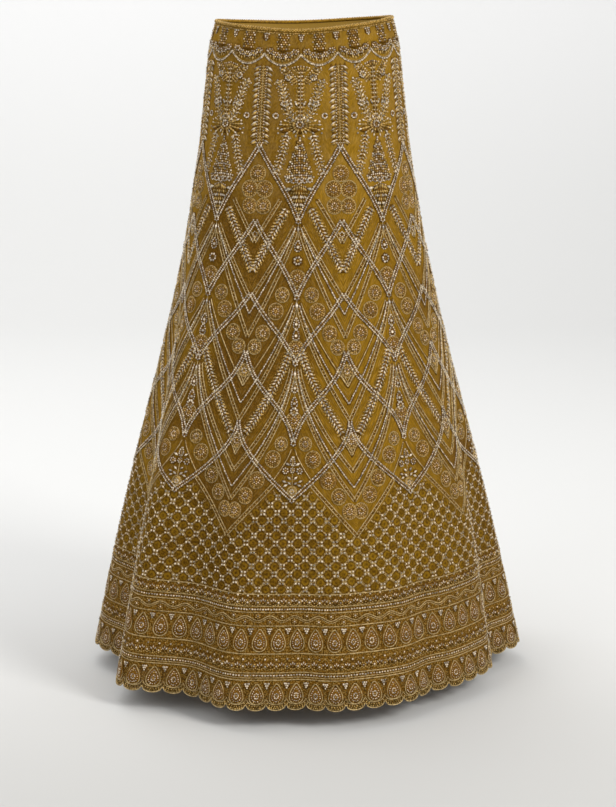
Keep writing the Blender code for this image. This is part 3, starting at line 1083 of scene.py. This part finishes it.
def burst(work):
    """The large flower of the bouquet: rays of leaves from a centre, wider than it is tall."""
    work.shadow_patch(0.0, 0.1570, 0.0165, 0.0115)
    work.shadow_patch(*offset(0.0, 0.1610, 0.0225), 0.0085, 0.0058, True)
    work.flower(0.0, 0.1530, 0.0072, 9)
    rays = ((0.30, 3), (0.62, 2), (0.95, 4), (1.30, 5), (1.62, 5), (1.95, 4), (2.30, 2), (2.75, 2))
    for turn, steps in rays:
        for step in range(steps):
            far = 0.0100 + 0.0048 * step
            place = offset(0.0, 0.1540, far * math.sin(turn), far * 0.85 * math.cos(turn))
            kind = LEAF if step == steps - 1 else GOLD_LEAF
            work.lay(kind, *place, (0.0016, 0.0034, 0.0013), turn, 0.0003, True)
    beads = ((0.0330, 0.1660), (0.0335, 0.1590), (0.0290, 0.1480), (0.0215, 0.1700), (0.0165, 0.1740))
    for right, level in beads:
        work.bead_at(SILVER, *offset(0.0, level, right), 1.15, 0.0003, True)


def tree(work):
    """The cone of beads, with a scalloped foot, over the lotus."""
    top, tall, foot = 0.1735, 0.0590, 0.0225
    rows = 17
    for row in range(rows):
        share = row / (rows - 1)
        half = 0.0008 + foot * share**0.9 * (0.94 if row % 3 else 1.0)
        beads = 2 * round(half / 0.0038) + 1
        right = np.linspace(-half, half, beads) if beads > 1 else np.zeros(1)
        columns, drops = offset(0.0, top + tall * share, right, 0.0024 * np.abs(right / half) ** 2)
        if row % 2 == 0:
            work.shadow_patch(0.0, top + tall * share, half + 0.002, 0.0048)
        mixed = np.arange(beads) % 3 == row % 3
        for kind, chosen, scale in ((GOLD, ~mixed, 0.95), (SILVER, mixed, 1.15)):
            if row % 4 == 3:
                kind = SILVER
            work.bead_at(kind, columns[chosen], drops[chosen], scale, 0.0003)
    for right in (0.0, 0.0085, 0.0170):
        place = offset(0.0, top + tall + 0.0055, right, -right * 0.12)
        work.shadow_patch(*place, 0.0052, 0.0046, right > 0)
        work.ring(*place, 0.0034, 7, lift=0.0003, mirror=right > 0)


def lotus(work):
    """The lotus that the tree stands in, down to the place where the ogees meet."""
    work.shadow_patch(0.0, 0.2520, 0.0150, 0.0070)
    work.shadow_patch(0.0, 0.2660, 0.0080, 0.0140)
    work.lay(LEAF, *offset(0.0, 0.2500, 0.0172), (0.0028, 0.0056, 0.0018), 1.35, 0.0004, True)
    work.bead_at(SILVER, *offset(0.0, 0.2475, 0.0225), 0.9, 0.0003, True)
    for right in (0.0, 0.0034, 0.0068, 0.0102):
        column, drop = offset(0.0, 0.2470 + right * 0.35, right)
        size = (0.0016, 0.0054 - right * 0.15, 0.0013)
        work.lay(GOLD_LEAF, column, drop, size, right * 45.0, 0.0005, right > 0)
        work.bead_at(SILVER, column, drop - 0.0042, 0.75, 0.0005, right > 0)
    for rank in range(6):
        level, spread = 0.2560 + 0.0058 * rank, 0.0120 - 0.0021 * rank
        for right in np.linspace(0.0, spread, 4 - rank // 2):
            kind = LEAF if rank % 2 == 1 and right > 0.002 else GOLD_LEAF
            place = offset(0.0, level, right)
            work.lay(kind, *place, (0.0015, 0.0032, 0.0013), right * 70.0, 0.0004, right > 0)


def bead_drop(work, level, half_width, half_height, pitch):
    """The outline of a hanging drop in silver beads."""
    work.beads(drop_shape(0.0, level, half_width, half_height), pitch, scale=0.95, lift=0.0003)


def pendants(work):
    """The pendants below each place where two ogees meet."""
    for top, drops in ((0.310, (0.3345,)), (0.424, (0.4500, 0.4670)), (0.526, (0.5450, 0.5680))):
        work.wire([(0.0, top - 0.010), (0.0, drops[-1] - 0.008)], scale=0.8)
        work.shadow_patch(0.0, top + 0.001, 0.0034, 0.0068)
        work.lay(LEAF, 0.0, top, (0.0023, 0.0052, 0.0017), 0.0, 0.0003)
        for level in drops:
            work.shadow_patch(0.0, level + 0.0010, 0.0064, 0.0094)
            bead_drop(work, level, 0.0054, 0.0084, 0.0035)
            work.lay(CUP, 0.0, level + 0.002, (0.0023, 0.0023, 0.0016), 0.0, 0.0004)
    for level in (0.3570, 0.5820):
        work.flower(0.0, level, 0.0080, 8)
    work.wire([(0.0, 0.650), (0.0, 0.692)], scale=0.8)
    work.shadow_patch(0.0, 0.6560, 0.0046, 0.0075)
    bead_drop(work, 0.6550, 0.0040, 0.0070, 0.0034)
    for level, right, reach in ((0.6700, 0.0120, 0.0060), (0.6690, 0.0, 0.0050)):
        work.flower(*offset(0.0, level, right), reach, 7, mirror=right > 0)
    leaves = (
        (0.6810, 0.0052, 2.3),
        (0.6890, 0.0052, 2.3),
        (0.6860, 0.0135, 1.9),
        (0.6920, 0.0120, 1.2),
        (0.6600, 0.0085, 2.0),
    )
    for level, right, turn in leaves:
        work.shadow_patch(*offset(0.0, level, right), 0.0036, 0.0036, True)
        work.lay(LEAF, *offset(0.0, level, right), (0.0020, 0.0042, 0.0015), turn, 0.0003, True)


def leaf_row(work, line):
    """A stem with slanting leaves on both sides, closely beaded, between two threads."""
    work.shadow_bed(line, 0.0060, mirror=True)
    work.beads(line, 0.0054, kind=GOLD, scale=0.9, lift=0.0003, mirror=True)
    for way in (1, -1):
        work.leaves(line, 0.0056, 0.0036, 0.0016, way * 0.7, side=way * 0.0030, mirror=True)
        work.leaves(line, 0.0052, 0.0028, 0.0017, way * 0.7, kind=GOLD_LEAF, side=way * 0.0054, mirror=True)
        work.beads(line, 0.0062, kind=GOLD, scale=0.75, side=way * 0.0076, mirror=True)


def inner_rows(work):
    """The straight rows that fan out inside the ogees."""
    for row in ROWS:
        line = bend((row.from_repeat, row.from_drop), (row.to_repeat, row.to_drop), 0.006, slow=row.slow)
        if row.finish == "leaves":
            leaf_row(work, line)
        elif row.finish == "silver":
            work.shadow_bed(line, 0.0024, mirror=True, pitch=0.011)
            work.beads(line, 0.0040, kind=LEAF, scale=0.85, lift=0.0008, mirror=True, long=2.1)
        elif row.finish == "gold":
            work.shadow_bed(line, 0.0022, mirror=True, pitch=0.011)
            work.wire(line, scale=1.1, mirror=True)
        else:
            work.shadow_bed(line, 0.0034, mirror=True, pitch=0.011)
            for side in (0.0024, -0.0024):
                work.wire(line, side=side, lift=0.0002, mirror=True)
            work.beads(line, 0.0056, kind=GOLD, scale=0.75, lift=0.0002, mirror=True)


# The two lowest tiers have a straight brace at each side, under their points
BRACED_TIERS = (3, 4)


def ogee_cords(work):
    """The tiers of pointed arches: two rows of silver beads with a dark channel between them."""
    for number, tier in enumerate(TIERS):
        line = bend((0.5, tier.apex), (0.0, tier.meet), tier.sag, tier.sway, tier.slow)
        work.shadow_bed(line, 0.0050, mirror=True)
        for side in (0.0024, -0.0024):
            work.beads(line, 0.0032, scale=1.02, side=side, lift=0.0008, mirror=True)
        work.shadow_patch(0.0, tier.meet + 0.001, 0.0060, 0.0060)
        work.ring(0.0, tier.meet + 0.001, 0.0034, 6, lift=0.0008)
        if number in BRACED_TIERS:
            for way in (1, -1):
                brace = [(0.5, tier.apex + 0.052), offset(0.5, tier.apex + 0.024, way * 0.0165)]
                work.shadow_bed(brace, 0.0030)
                work.wire(brace)
                work.wire(brace, scale=0.9, side=way * 0.0035)


# A roundel's rings of beads: share of its radius, how many beads, and their kind
ROUNDEL_RINGS = ((0.83, 19, GOLD), (0.60, 14, GOLD), (0.37, 8, SILVER), (0.15, 3, GOLD))


def roundels(work):
    """Round pads filled with rings of beads, each inside a ring of thread; a pad reaches a little past its
    ring, so that its dark edge is painted shadow round the roundel.
    """
    around = np.linspace(0.0, math.tau, 19)
    for item in ROUNDELS:
        r = item.radius
        place = offset(item.column, item.drop, item.right)
        pair = (place, (2 * item.column - place[0], place[1])) if item.right > 0 else (place,)
        for repeat, drop in pair:
            # The pad is wider than the ring of thread: its dark edge is painted shadow
            work.lay(SHADOW_PAD, repeat, drop, (r * 1.08, r * 1.08, 0.0006))
            rim = np.c_[offset(repeat, drop, r * np.sin(around), r * np.cos(around))]
            work.wire(rim, scale=0.8, pitch=math.tau * r / 13, closed=True, lift=0.0002)
            for share, count, kind in ROUNDEL_RINGS:
                work.ring(repeat, drop, r * share, count, kind=kind, scale=0.86, lift=0.0004)


def jaal(work):
    """A ring of four silver petals on each crossing of the jaal, with gold stitches between them."""
    half_pitch = JAAL_PITCH / 2
    half_column = 0.5 / JAAL_PER_REPEAT
    around = (np.arange(4) + 0.5) * math.tau / 4
    for row in range(int(JAAL_TOP / half_pitch) - 1, int(JAAL_BOTTOM / half_pitch) + 1):
        drop = row * half_pitch
        columns = np.arange(JAAL_PER_REPEAT) / JAAL_PER_REPEAT + row % 2 * half_column
        for column in columns[(jaal_starts(columns) + 0.004 < drop) & (drop < JAAL_BOTTOM - 0.004)]:
            places = offset(column, drop, 0.0038 * np.sin(around), 0.0038 * np.cos(around))
            work.lay(LEAF, *places, (0.0018, 0.0021, 0.0012), around, 0.0004)
            if drop + half_pitch >= JAAL_BOTTOM - 0.002:
                continue
            for way in (1, -1):
                heading = math.atan2(half_column * CLOTH.width(drop) * way, half_pitch)
                for share in (0.36, 0.5, 0.64):
                    place = column + way * half_column * share, drop + half_pitch * share
                    work.lay(GOLD_LEAF, *place, (0.0007, 0.0016, 0.0007), heading, 0.0002)


# The border's straight threads: how far each lies above the hem, and its thickness
BORDER_THREADS = (
    (0.0465, 1.0),
    (0.0500, 0.7),
    (0.0575, 0.95),
    (0.0860, 1.1),
    (0.1280, 0.95),
    (0.1485, 0.85),
    (0.1575, 0.85),
    (0.1755, 0.95),
)
# Its rows of beads, floral bands and waved line, by the same height, and the counts in a repeat
BEAD_LINES = (0.0535, 0.1530)
FLORAL_BANDS = (0.0690, 0.1650)
MOTIFS_PER_REPEAT = 14
WAVED_LINE = 0.1385
WAVES_PER_REPEAT = 6


def border_bands(work):
    """The straight and waved lines, dots, trefoils and fleurs between the rows of drops."""
    for above, scale in BORDER_THREADS:
        work.girdle(SKIRT_LENGTH - above, scale=scale, lift=0.0002)
    for above in BEAD_LINES:
        work.bead_girdle(SKIRT_LENGTH - above, 54, scale=0.95, long=1.25, lift=0.0002)
    for above in FLORAL_BANDS:
        trefoils_and_fleurs(work, SKIRT_LENGTH - above)
    middle = SKIRT_LENGTH - WAVED_LINE

    def waved(repeat, level):
        return middle + level - 0.0036 * np.sin(math.tau * WAVES_PER_REPEAT * repeat)

    work.girdle(lambda repeat: waved(repeat, -0.0012), scale=0.95, steps=60, lift=0.0002)
    work.girdle(lambda repeat: waved(repeat, 0.0018), scale=0.6, steps=60, lift=0.0002)
    crests = (np.arange(WAVES_PER_REPEAT) + 0.25) / WAVES_PER_REPEAT
    for columns, level in ((crests, 0.0042), (crests + 0.5 / WAVES_PER_REPEAT, -0.0042)):
        work.shadow_patch(columns, middle + level, 0.0060, 0.0050)
        work.ring(columns, middle + level, 0.0034, 6, kind=GOLD, scale=0.8, lift=0.0003)
        work.bead_at(SILVER, columns, middle + level, 1.1, 0.0004)


def trefoils_and_fleurs(work, level):
    """One floral band: beaded rosettes with a small fleur between each two."""
    columns = np.arange(MOTIFS_PER_REPEAT) / MOTIFS_PER_REPEAT
    between = columns + 0.5 / MOTIFS_PER_REPEAT
    work.shadow_patch(columns, level + 0.0010, 0.0070, 0.0066)
    work.ring(columns, level + 0.0018, 0.0038, 7, kind=GOLD, scale=0.90, lift=0.0003)
    work.bead_at(SILVER, columns, level + 0.0018, 1.20, 0.0005)
    work.shadow_patch(between, level - 0.0010, 0.0056, 0.0066)
    for right, down, turn in ((0.0032, -0.0008, 2.4), (-0.0032, -0.0008, -2.4), (0.0, -0.0026, math.pi)):
        work.lay(LEAF, *offset(between, level + down, right), (0.0011, 0.0026, 0.0010), turn, 0.0003)
    for right, down in ((0.0, 0.0030), (0.0034, 0.0058), (-0.0034, 0.0058), (0.0, 0.0066)):
        work.bead_at(GOLD, *offset(between, level + down, right), 0.80, 0.0003)
    work.bead_at(SILVER, columns, level - 0.0088, 1.10, 0.0003)
    work.bead_at(GOLD, between, level - 0.0098, 0.80, 0.0003)


DROP_HALF_WIDTH = 0.0128


def border_drops(work):
    """The two rows of large drops, with bead triangles between their points."""
    for above, half_height in ((0.1070, 0.0176), (0.0262, 0.0162)):
        level = SKIRT_LENGTH - above
        for number in range(SCALLOPS_PER_REPEAT):
            large_drop(work, (number + 0.5) / SCALLOPS_PER_REPEAT, level, half_height)
        columns = np.arange(SCALLOPS_PER_REPEAT) / SCALLOPS_PER_REPEAT
        work.shadow_patch(columns, level - half_height + 0.0042, 0.0058, 0.0060)
        for row, beads in enumerate((3, 2, 1)):
            down = level - half_height + 0.0015 + row * 0.0030
            for place in range(beads):
                right = (place - (beads - 1) / 2) * 0.0031
                work.bead_at(SILVER, *offset(columns, down, right), 1.12, 0.0004)


def large_drop(work, column, level, half_height):
    """One drop: a pad in a thread outline, a row of beads inside it, and a rosette with gold beads; the pad
    reaches past the outline, and its dark edge is painted shadow round the drop.
    """
    # The pad is wider than the outline: its dark edge is painted shadow
    work.lay(SHADOW_PAD, column, level + 0.0020, (DROP_HALF_WIDTH * 1.16, half_height * 1.04, 0.0006))
    outline = drop_shape(column, level, DROP_HALF_WIDTH, half_height)
    work.wire(outline, pitch=0.0048, closed=True, lift=0.0005)
    inner = drop_shape(column, level + 0.0010, DROP_HALF_WIDTH * 0.66, half_height * 0.68)
    work.beads(inner, 0.0034, scale=0.70, lift=0.0006)
    work.ring(column, level + 0.0038, 0.0034, 8, scale=0.90, lift=0.0007, tall=1.15)
    work.bead_at(GOLD, column, level + 0.0038, 0.9, 0.0008)
    work.bead_at(GOLD, column, level - 0.0058, 0.8, 0.0007)
    for right in (0.0044, -0.0044):
        work.bead_at(GOLD, *offset(column, level + 0.0130, right), 0.7, 0.0007)


def scallop_edging(work):
    """The corded and beaded edge that follows the scallops."""

    def inside(distance):
        return lambda repeat: SKIRT_LENGTH - distance - scallop_rise(repeat)

    for distance, scale in ((0.0010, 1.3), (0.0094, 0.9)):
        work.girdle(inside(distance), scale=scale, steps=72, lift=0.0002)
    for distance, per_repeat in ((0.0036, 72), (0.0066, 64)):
        work.bead_girdle(inside(distance), per_repeat, kind=GOLD, scale=0.9, lift=0.0002)


# The grids that the cloth is made from, and the share of the length where the scallops' edge begins
NET_GRID = (224, 44)
LINING_GRID = (112, 28)
SCALLOPS_FROM = 0.965


def cloth_panel(name, centre, grid, length, inset, scalloped, material, thickness):
    """Half of the net or of the lining: a fine grid moved onto the hung cloth."""
    mesh = bmesh.new()
    bmesh.ops.create_grid(mesh, x_segments=grid[0], y_segments=grid[1], size=0.5)
    flat = np.array([vertex.co for vertex in mesh.verts])
    gap = 1.0 - 2.0 * SEAM_GAP
    repeat = (centre + flat[:, 0] / 2 * gap) * REPEATS
    share = 0.5 - flat[:, 1]
    drop = share * length
    if scalloped:
        drop = drop - scallop_rise(repeat) * smooth_share(share, SCALLOPS_FROM, 1.0)
    normal, _, _ = CLOTH.axes(repeat, drop)
    places = CLOTH.point(repeat, drop) - normal * inset(drop)[:, None]
    in_repeats = mesh.loops.layers.uv.new("repeats")
    in_metres = mesh.loops.layers.uv.new("weave")
    widths = CLOTH.width(drop)
    for vertex, place, across, down, width in zip(mesh.verts, places, repeat, drop, widths):
        vertex.co = Vector(place)
        for loop in vertex.link_loops:
            loop[in_repeats].uv = (across / REPEATS, down)
            loop[in_metres].uv = (across * width, down)
    made = bpy.data.objects.new(name, finished_mesh(mesh, name))
    made.data.materials.append(material)
    bpy.context.scene.collection.objects.link(made)
    wall = made.modifiers.new("Wall", "SOLIDIFY")
    wall.thickness = thickness
    wall.offset = -1.0
    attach(made, "root")
    return made


class DressNet(bpy.types.Operator):
    """Makes the front and back of the embroidered net"""

    bl_idname = "lehenga.net"
    bl_label = "Net"

    def execute(self, context):
        material = net_material(context.scene.lehenga_colours)
        wall = context.scene.lehenga_sizes.wall
        for side, centre in (("front", 0.0), ("back", 0.5)):
            made = cloth_panel(
                "net_cloth_" + side, centre, NET_GRID, SKIRT_LENGTH, np.zeros_like, True, material, wall
            )
            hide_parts("net_" + side)
        return {"FINISHED"}


def lining_inset(drop):
    """The lining lies close under the net at the waist and hangs a little clear of it below."""
    return NET_THICKNESS + SEAM_GAP + LINING_EASE * smooth_share(drop / SKIRT_LENGTH, 0.0, LINING_EASE_FROM)


class DressLining(bpy.types.Operator):
    """Makes the front and back of the satin lining"""

    bl_idname = "lehenga.lining"
    bl_label = "Lining"

    def execute(self, context):
        material = lining_material(context.scene.lehenga_colours)
        wall = context.scene.lehenga_sizes.wall
        length = SKIRT_LENGTH - LINING_HEM_RISE
        for side, centre in (("front", 0.0), ("back", 0.5)):
            made = cloth_panel(
                "lining_cloth_" + side, centre, LINING_GRID, length, lining_inset, False, material, wall
            )
            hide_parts("lining_" + side)
        return {"FINISHED"}


# The binding: steps of its cord in a repeat, and the degrees up at which rows of beads lie on it
BINDING_STEPS = 48
BINDING_BEAD_TURNS = (-40, 0, 40, 85)
BINDING_BEAD_SHARE = 0.75


class DressBinding(bpy.types.Operator):
    """Makes the rolled cord round the waist and sews beads over it"""

    bl_idname = "lehenga.binding"
    bl_label = "Waist binding"

    def execute(self, context):
        work = Embroidery("binding_cord", context.scene.lehenga_sizes, 1)
        repeat = np.arange(REPEATS * BINDING_STEPS) / BINDING_STEPS
        waist = np.zeros(len(repeat))
        normal, right, _ = CLOTH.axes(repeat, waist)
        middle = CLOTH.point(repeat, waist) - normal * (NET_THICKNESS + SEAM_GAP + LINING_THICKNESS) / 2
        middle[:, 2] += BINDING_RADIUS + SEAM_GAP
        up = np.cross(normal, right)
        cord = threads_object("binding_cord", BINDING_RADIUS, [(middle, True)], "rolled_satin", 2)
        for number, turn in enumerate(np.radians(BINDING_BEAD_TURNS)):
            out = normal * math.cos(turn) + up * math.sin(turn)
            chosen = slice(number % 2, None, 2)
            size = np.full((len(middle[chosen]), 3), work.bead * BINDING_BEAD_SHARE)
            places = (middle + out * BINDING_RADIUS)[chosen]
            work.add(GOLD, Copies(places, out[chosen], right[chosen], size))
        made = work.make([cord])
        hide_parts("waist_binding")
        return {"FINISHED"}


Group = namedtuple("Group", "name label maker seed")
GROUPS = (
    Group("waist_embroidery", "Swags and rosettes", swags_and_rosettes, 11),
    Group("vines", "Vines", vines, 20),
    Group("bouquets", "Bouquets", bouquets, 12),
    Group("pendants", "Pendants", pendants, 21),
    Group("ogee_cords", "Ogee cords", ogee_cords, 13),
    Group("inner_rows", "Inner rows", inner_rows, 14),
    Group("roundels", "Roundels", roundels, 15),
    Group("jaal", "Jaal", jaal, 16),
    Group("border_bands", "Border bands", border_bands, 17),
    Group("border_drops", "Border drops", border_drops, 18),
    Group("scallop_edging", "Scallop edging", scallop_edging, 19),
)


class DressEmbroidery(bpy.types.Operator):
    """Sews one group of the embroidery onto the net"""

    bl_idname = "lehenga.embroidery"
    bl_label = "Embroidery"

    group: bpy.props.IntProperty(name="Group", description="Which group of the embroidery to sew", min=0)

    def execute(self, context):
        group = GROUPS[self.group]
        work = Embroidery(group.name, context.scene.lehenga_sizes, group.seed)
        group.maker(work)
        work.make()
        return {"FINISHED"}


class MixFinishes(bpy.types.Operator):
    """Makes the materials of the beads and of the metal thread"""

    bl_idname = "lehenga.finishes"
    bl_label = "Bead and thread finishes"

    def execute(self, context):
        colours = context.scene.lehenga_colours
        thread_material(colours)
        padding_and_shadow_material(colours)
        binding_material(colours)
        bead_material("silver_beads", colours.silver, 0.5, 1.45)
        bead_material("gold_beads", colours.gold, 0.45, 1.4)
        return {"FINISHED"}


# The studio paper's colours on the floor in front, under the skirt, and on the wall: painted shade makes the
# floor in front greyest and painted light makes the wall lightest
PAPER_NEAR_SHADED = (0.54, 0.536, 0.52, 1.0)
PAPER_UNDER = (0.78, 0.78, 0.77, 1.0)
PAPER_WALL_LIT = (0.93, 0.93, 0.93, 1.0)


def paper_material(floor):
    """Pale studio paper, with painted shade that makes it greyest on the floor in front and painted light
    that makes it lightest on the wall.
    """
    material, nodes, shader = new_material("studio_paper", Roughness=0.9)
    place = nodes.add("ShaderNodeTexCoord", {}, {}, "Object")
    split = nodes.add("ShaderNodeSeparateXYZ", {}, {0: place})
    away = nodes.other(split, "Y") + nodes.noise(place, 1.2, 3.0) * 0.05
    ground = nodes.mix(away.step(-0.9, 0.6), PAPER_NEAR_SHADED, PAPER_UNDER)
    wall = nodes.other(split, "Z").step(floor, floor + 1.4)
    feed(nodes, shader, Base_Color=nodes.mix(wall, ground, PAPER_WALL_LIT))
    return material


WHITE = (1.0, 1.0, 1.0)

# The area lights: each names the setting that holds its power
Light = namedtuple("Light", "name setting place target size tint")
LIGHTS = (
    Light("key", "key", (2.5, -2.3, 1.5), (0.0, 0.0, -0.5), 1.3, (1.0, 0.99, 0.97)),
    Light("fill", "fill", (-2.6, -2.4, 1.7), (0.0, 0.0, -0.5), 2.0, WHITE),
    Light("wall wash", "wash", (-1.3, 1.8, 2.4), (-1.0, 2.4, -1.0), 3.0, WHITE),
)

# The camera: millimetres for its lens and sensor, metres for its place, degrees for its look down
LENS = 89.2
SENSOR_WIDTH = 36.0
CAMERA_PLACE = (0.006, -3.2, 0.0592)
LOOK_DOWN = 11.9

# The studio paper's sizes: its floor, the curve behind, and the wall over it
PAPER_WIDTH = 14.0
PAPER_DEPTH = 9.0
PAPER_MIDDLE = -1.2
CURVE_RADIUS = 2.0
WALL_HEIGHT = 3.0


def paper_sweep(floor):
    """The paper's mesh: a flat sheet whose far edge is spun upwards and drawn out to a wall."""
    mesh = bmesh.new()
    bmesh.ops.create_grid(mesh, x_segments=1, y_segments=1, size=0.5)
    bmesh.ops.scale(mesh, vec=(PAPER_WIDTH, PAPER_DEPTH, 1.0), verts=mesh.verts)
    bmesh.ops.translate(mesh, vec=(0.0, PAPER_MIDDLE, floor), verts=mesh.verts)
    back = PAPER_MIDDLE + PAPER_DEPTH / 2
    far = [edge for edge in mesh.edges if all(v.co.y > back - 0.3 for v in edge.verts)]
    bmesh.ops.spin(
        mesh,
        geom=far,
        cent=(0.0, back, floor + CURVE_RADIUS),
        axis=(1.0, 0.0, 0.0),
        angle=math.radians(90),
        steps=16,
    )
    high = floor + CURVE_RADIUS - 0.1
    top = [edge for edge in mesh.edges if edge.is_boundary and all(v.co.z > high for v in edge.verts)]
    raised = bmesh.ops.extrude_edge_only(mesh, edges=top)["geom"]
    raised = [item for item in raised if isinstance(item, bmesh.types.BMVert)]
    bmesh.ops.translate(mesh, vec=(0.0, 0.0, WALL_HEIGHT), verts=raised)
    bmesh.ops.recalc_face_normals(mesh, faces=mesh.faces)
    return finished_mesh(mesh, "studio_sweep")


def hang_light(scene, light, power):
    """A square area light turned to a point."""
    data = bpy.data.lights.new(light.name, "AREA")
    data.shape = "SQUARE"
    data.size = light.size
    data.energy = power
    data.color = light.tint
    holder = bpy.data.objects.new(light.name, data)
    holder.location = light.place
    facing = Vector(light.target) - Vector(light.place)
    holder.rotation_euler = facing.to_track_quat("-Z", "Y").to_euler()
    scene.collection.objects.link(holder)


def place_camera(scene):
    """The camera, in front of the skirt and looking a little down on it."""
    lens = bpy.data.cameras.new("camera")
    lens.lens = LENS
    lens.sensor_width = SENSOR_WIDTH
    camera = bpy.data.objects.new("camera", lens)
    camera.location = CAMERA_PLACE
    camera.rotation_euler = Euler((math.radians(90.0 - LOOK_DOWN), 0.0, 0.0))
    scene.collection.objects.link(camera)
    scene.camera = camera


class SetStage(bpy.types.Operator):
    """Lays the pale sweep, hangs the studio lights and places the camera"""

    bl_idname = "lehenga.stage"
    bl_label = "Stage"

    def execute(self, context):
        scene = context.scene
        settings = scene.lehenga_stage
        sweep = bpy.data.objects.new("studio_sweep", paper_sweep(settings.floor))
        sweep.data.materials.append(paper_material(settings.floor))
        scene.collection.objects.link(sweep)
        for light in LIGHTS:
            hang_light(scene, light, getattr(settings, light.setting))
        world = bpy.data.worlds.new("studio")
        world.use_nodes = True
        background = world.node_tree.nodes["Background"]
        background.inputs["Color"].default_value = (*WHITE, 1.0)
        background.inputs["Strength"].default_value = settings.sky
        scene.world = world
        scene.view_settings.view_transform = "Standard"
        place_camera(scene)
        return {"FINISHED"}


class LehengaPanel(bpy.types.Panel):
    """Lists the skirt's steps and its sizes and colours"""

    bl_idname = "VIEW3D_PT_lehenga"
    bl_label = "Lehenga"
    bl_space_type = "VIEW_3D"
    bl_region_type = "UI"
    bl_category = "Lehenga"

    def draw(self, context):
        layout = self.layout
        scene = context.scene
        for settings in (scene.lehenga_colours, scene.lehenga_sizes, scene.lehenga_stage):
            for name in settings.bl_rna.properties.keys():
                if name not in ("rna_type", "name"):
                    layout.prop(settings, name)
        for step in (MixFinishes, DressNet, DressLining, DressBinding):
            layout.operator(step.bl_idname)
        for number, group in enumerate(GROUPS):
            layout.operator(DressEmbroidery.bl_idname, text=group.label).group = number
        layout.operator(SetStage.bl_idname)


CLASSES = (
    SkirtColours,
    SkirtSizes,
    StageSettings,
    MixFinishes,
    DressNet,
    DressLining,
    DressBinding,
    DressEmbroidery,
    SetStage,
    LehengaPanel,
)


def register():
    """Adds the classes and the settings to Blender."""
    for made in CLASSES:
        bpy.utils.register_class(made)
    bpy.types.Scene.lehenga_colours = bpy.props.PointerProperty(type=SkirtColours)
    bpy.types.Scene.lehenga_sizes = bpy.props.PointerProperty(type=SkirtSizes)
    bpy.types.Scene.lehenga_stage = bpy.props.PointerProperty(type=StageSettings)


def unregister():
    """Takes the settings and the classes away again."""
    del bpy.types.Scene.lehenga_stage
    del bpy.types.Scene.lehenga_sizes
    del bpy.types.Scene.lehenga_colours
    for made in reversed(CLASSES):
        bpy.utils.unregister_class(made)


def main():
    """Runs every step in order."""
    register()
    bpy.ops.lehenga.finishes()
    bpy.ops.lehenga.binding()
    bpy.ops.lehenga.net()
    bpy.ops.lehenga.lining()
    for number in range(len(GROUPS)):
        bpy.ops.lehenga.embroidery(group=number)
    bpy.ops.lehenga.stage()


if __name__ == "__main__":
    main()
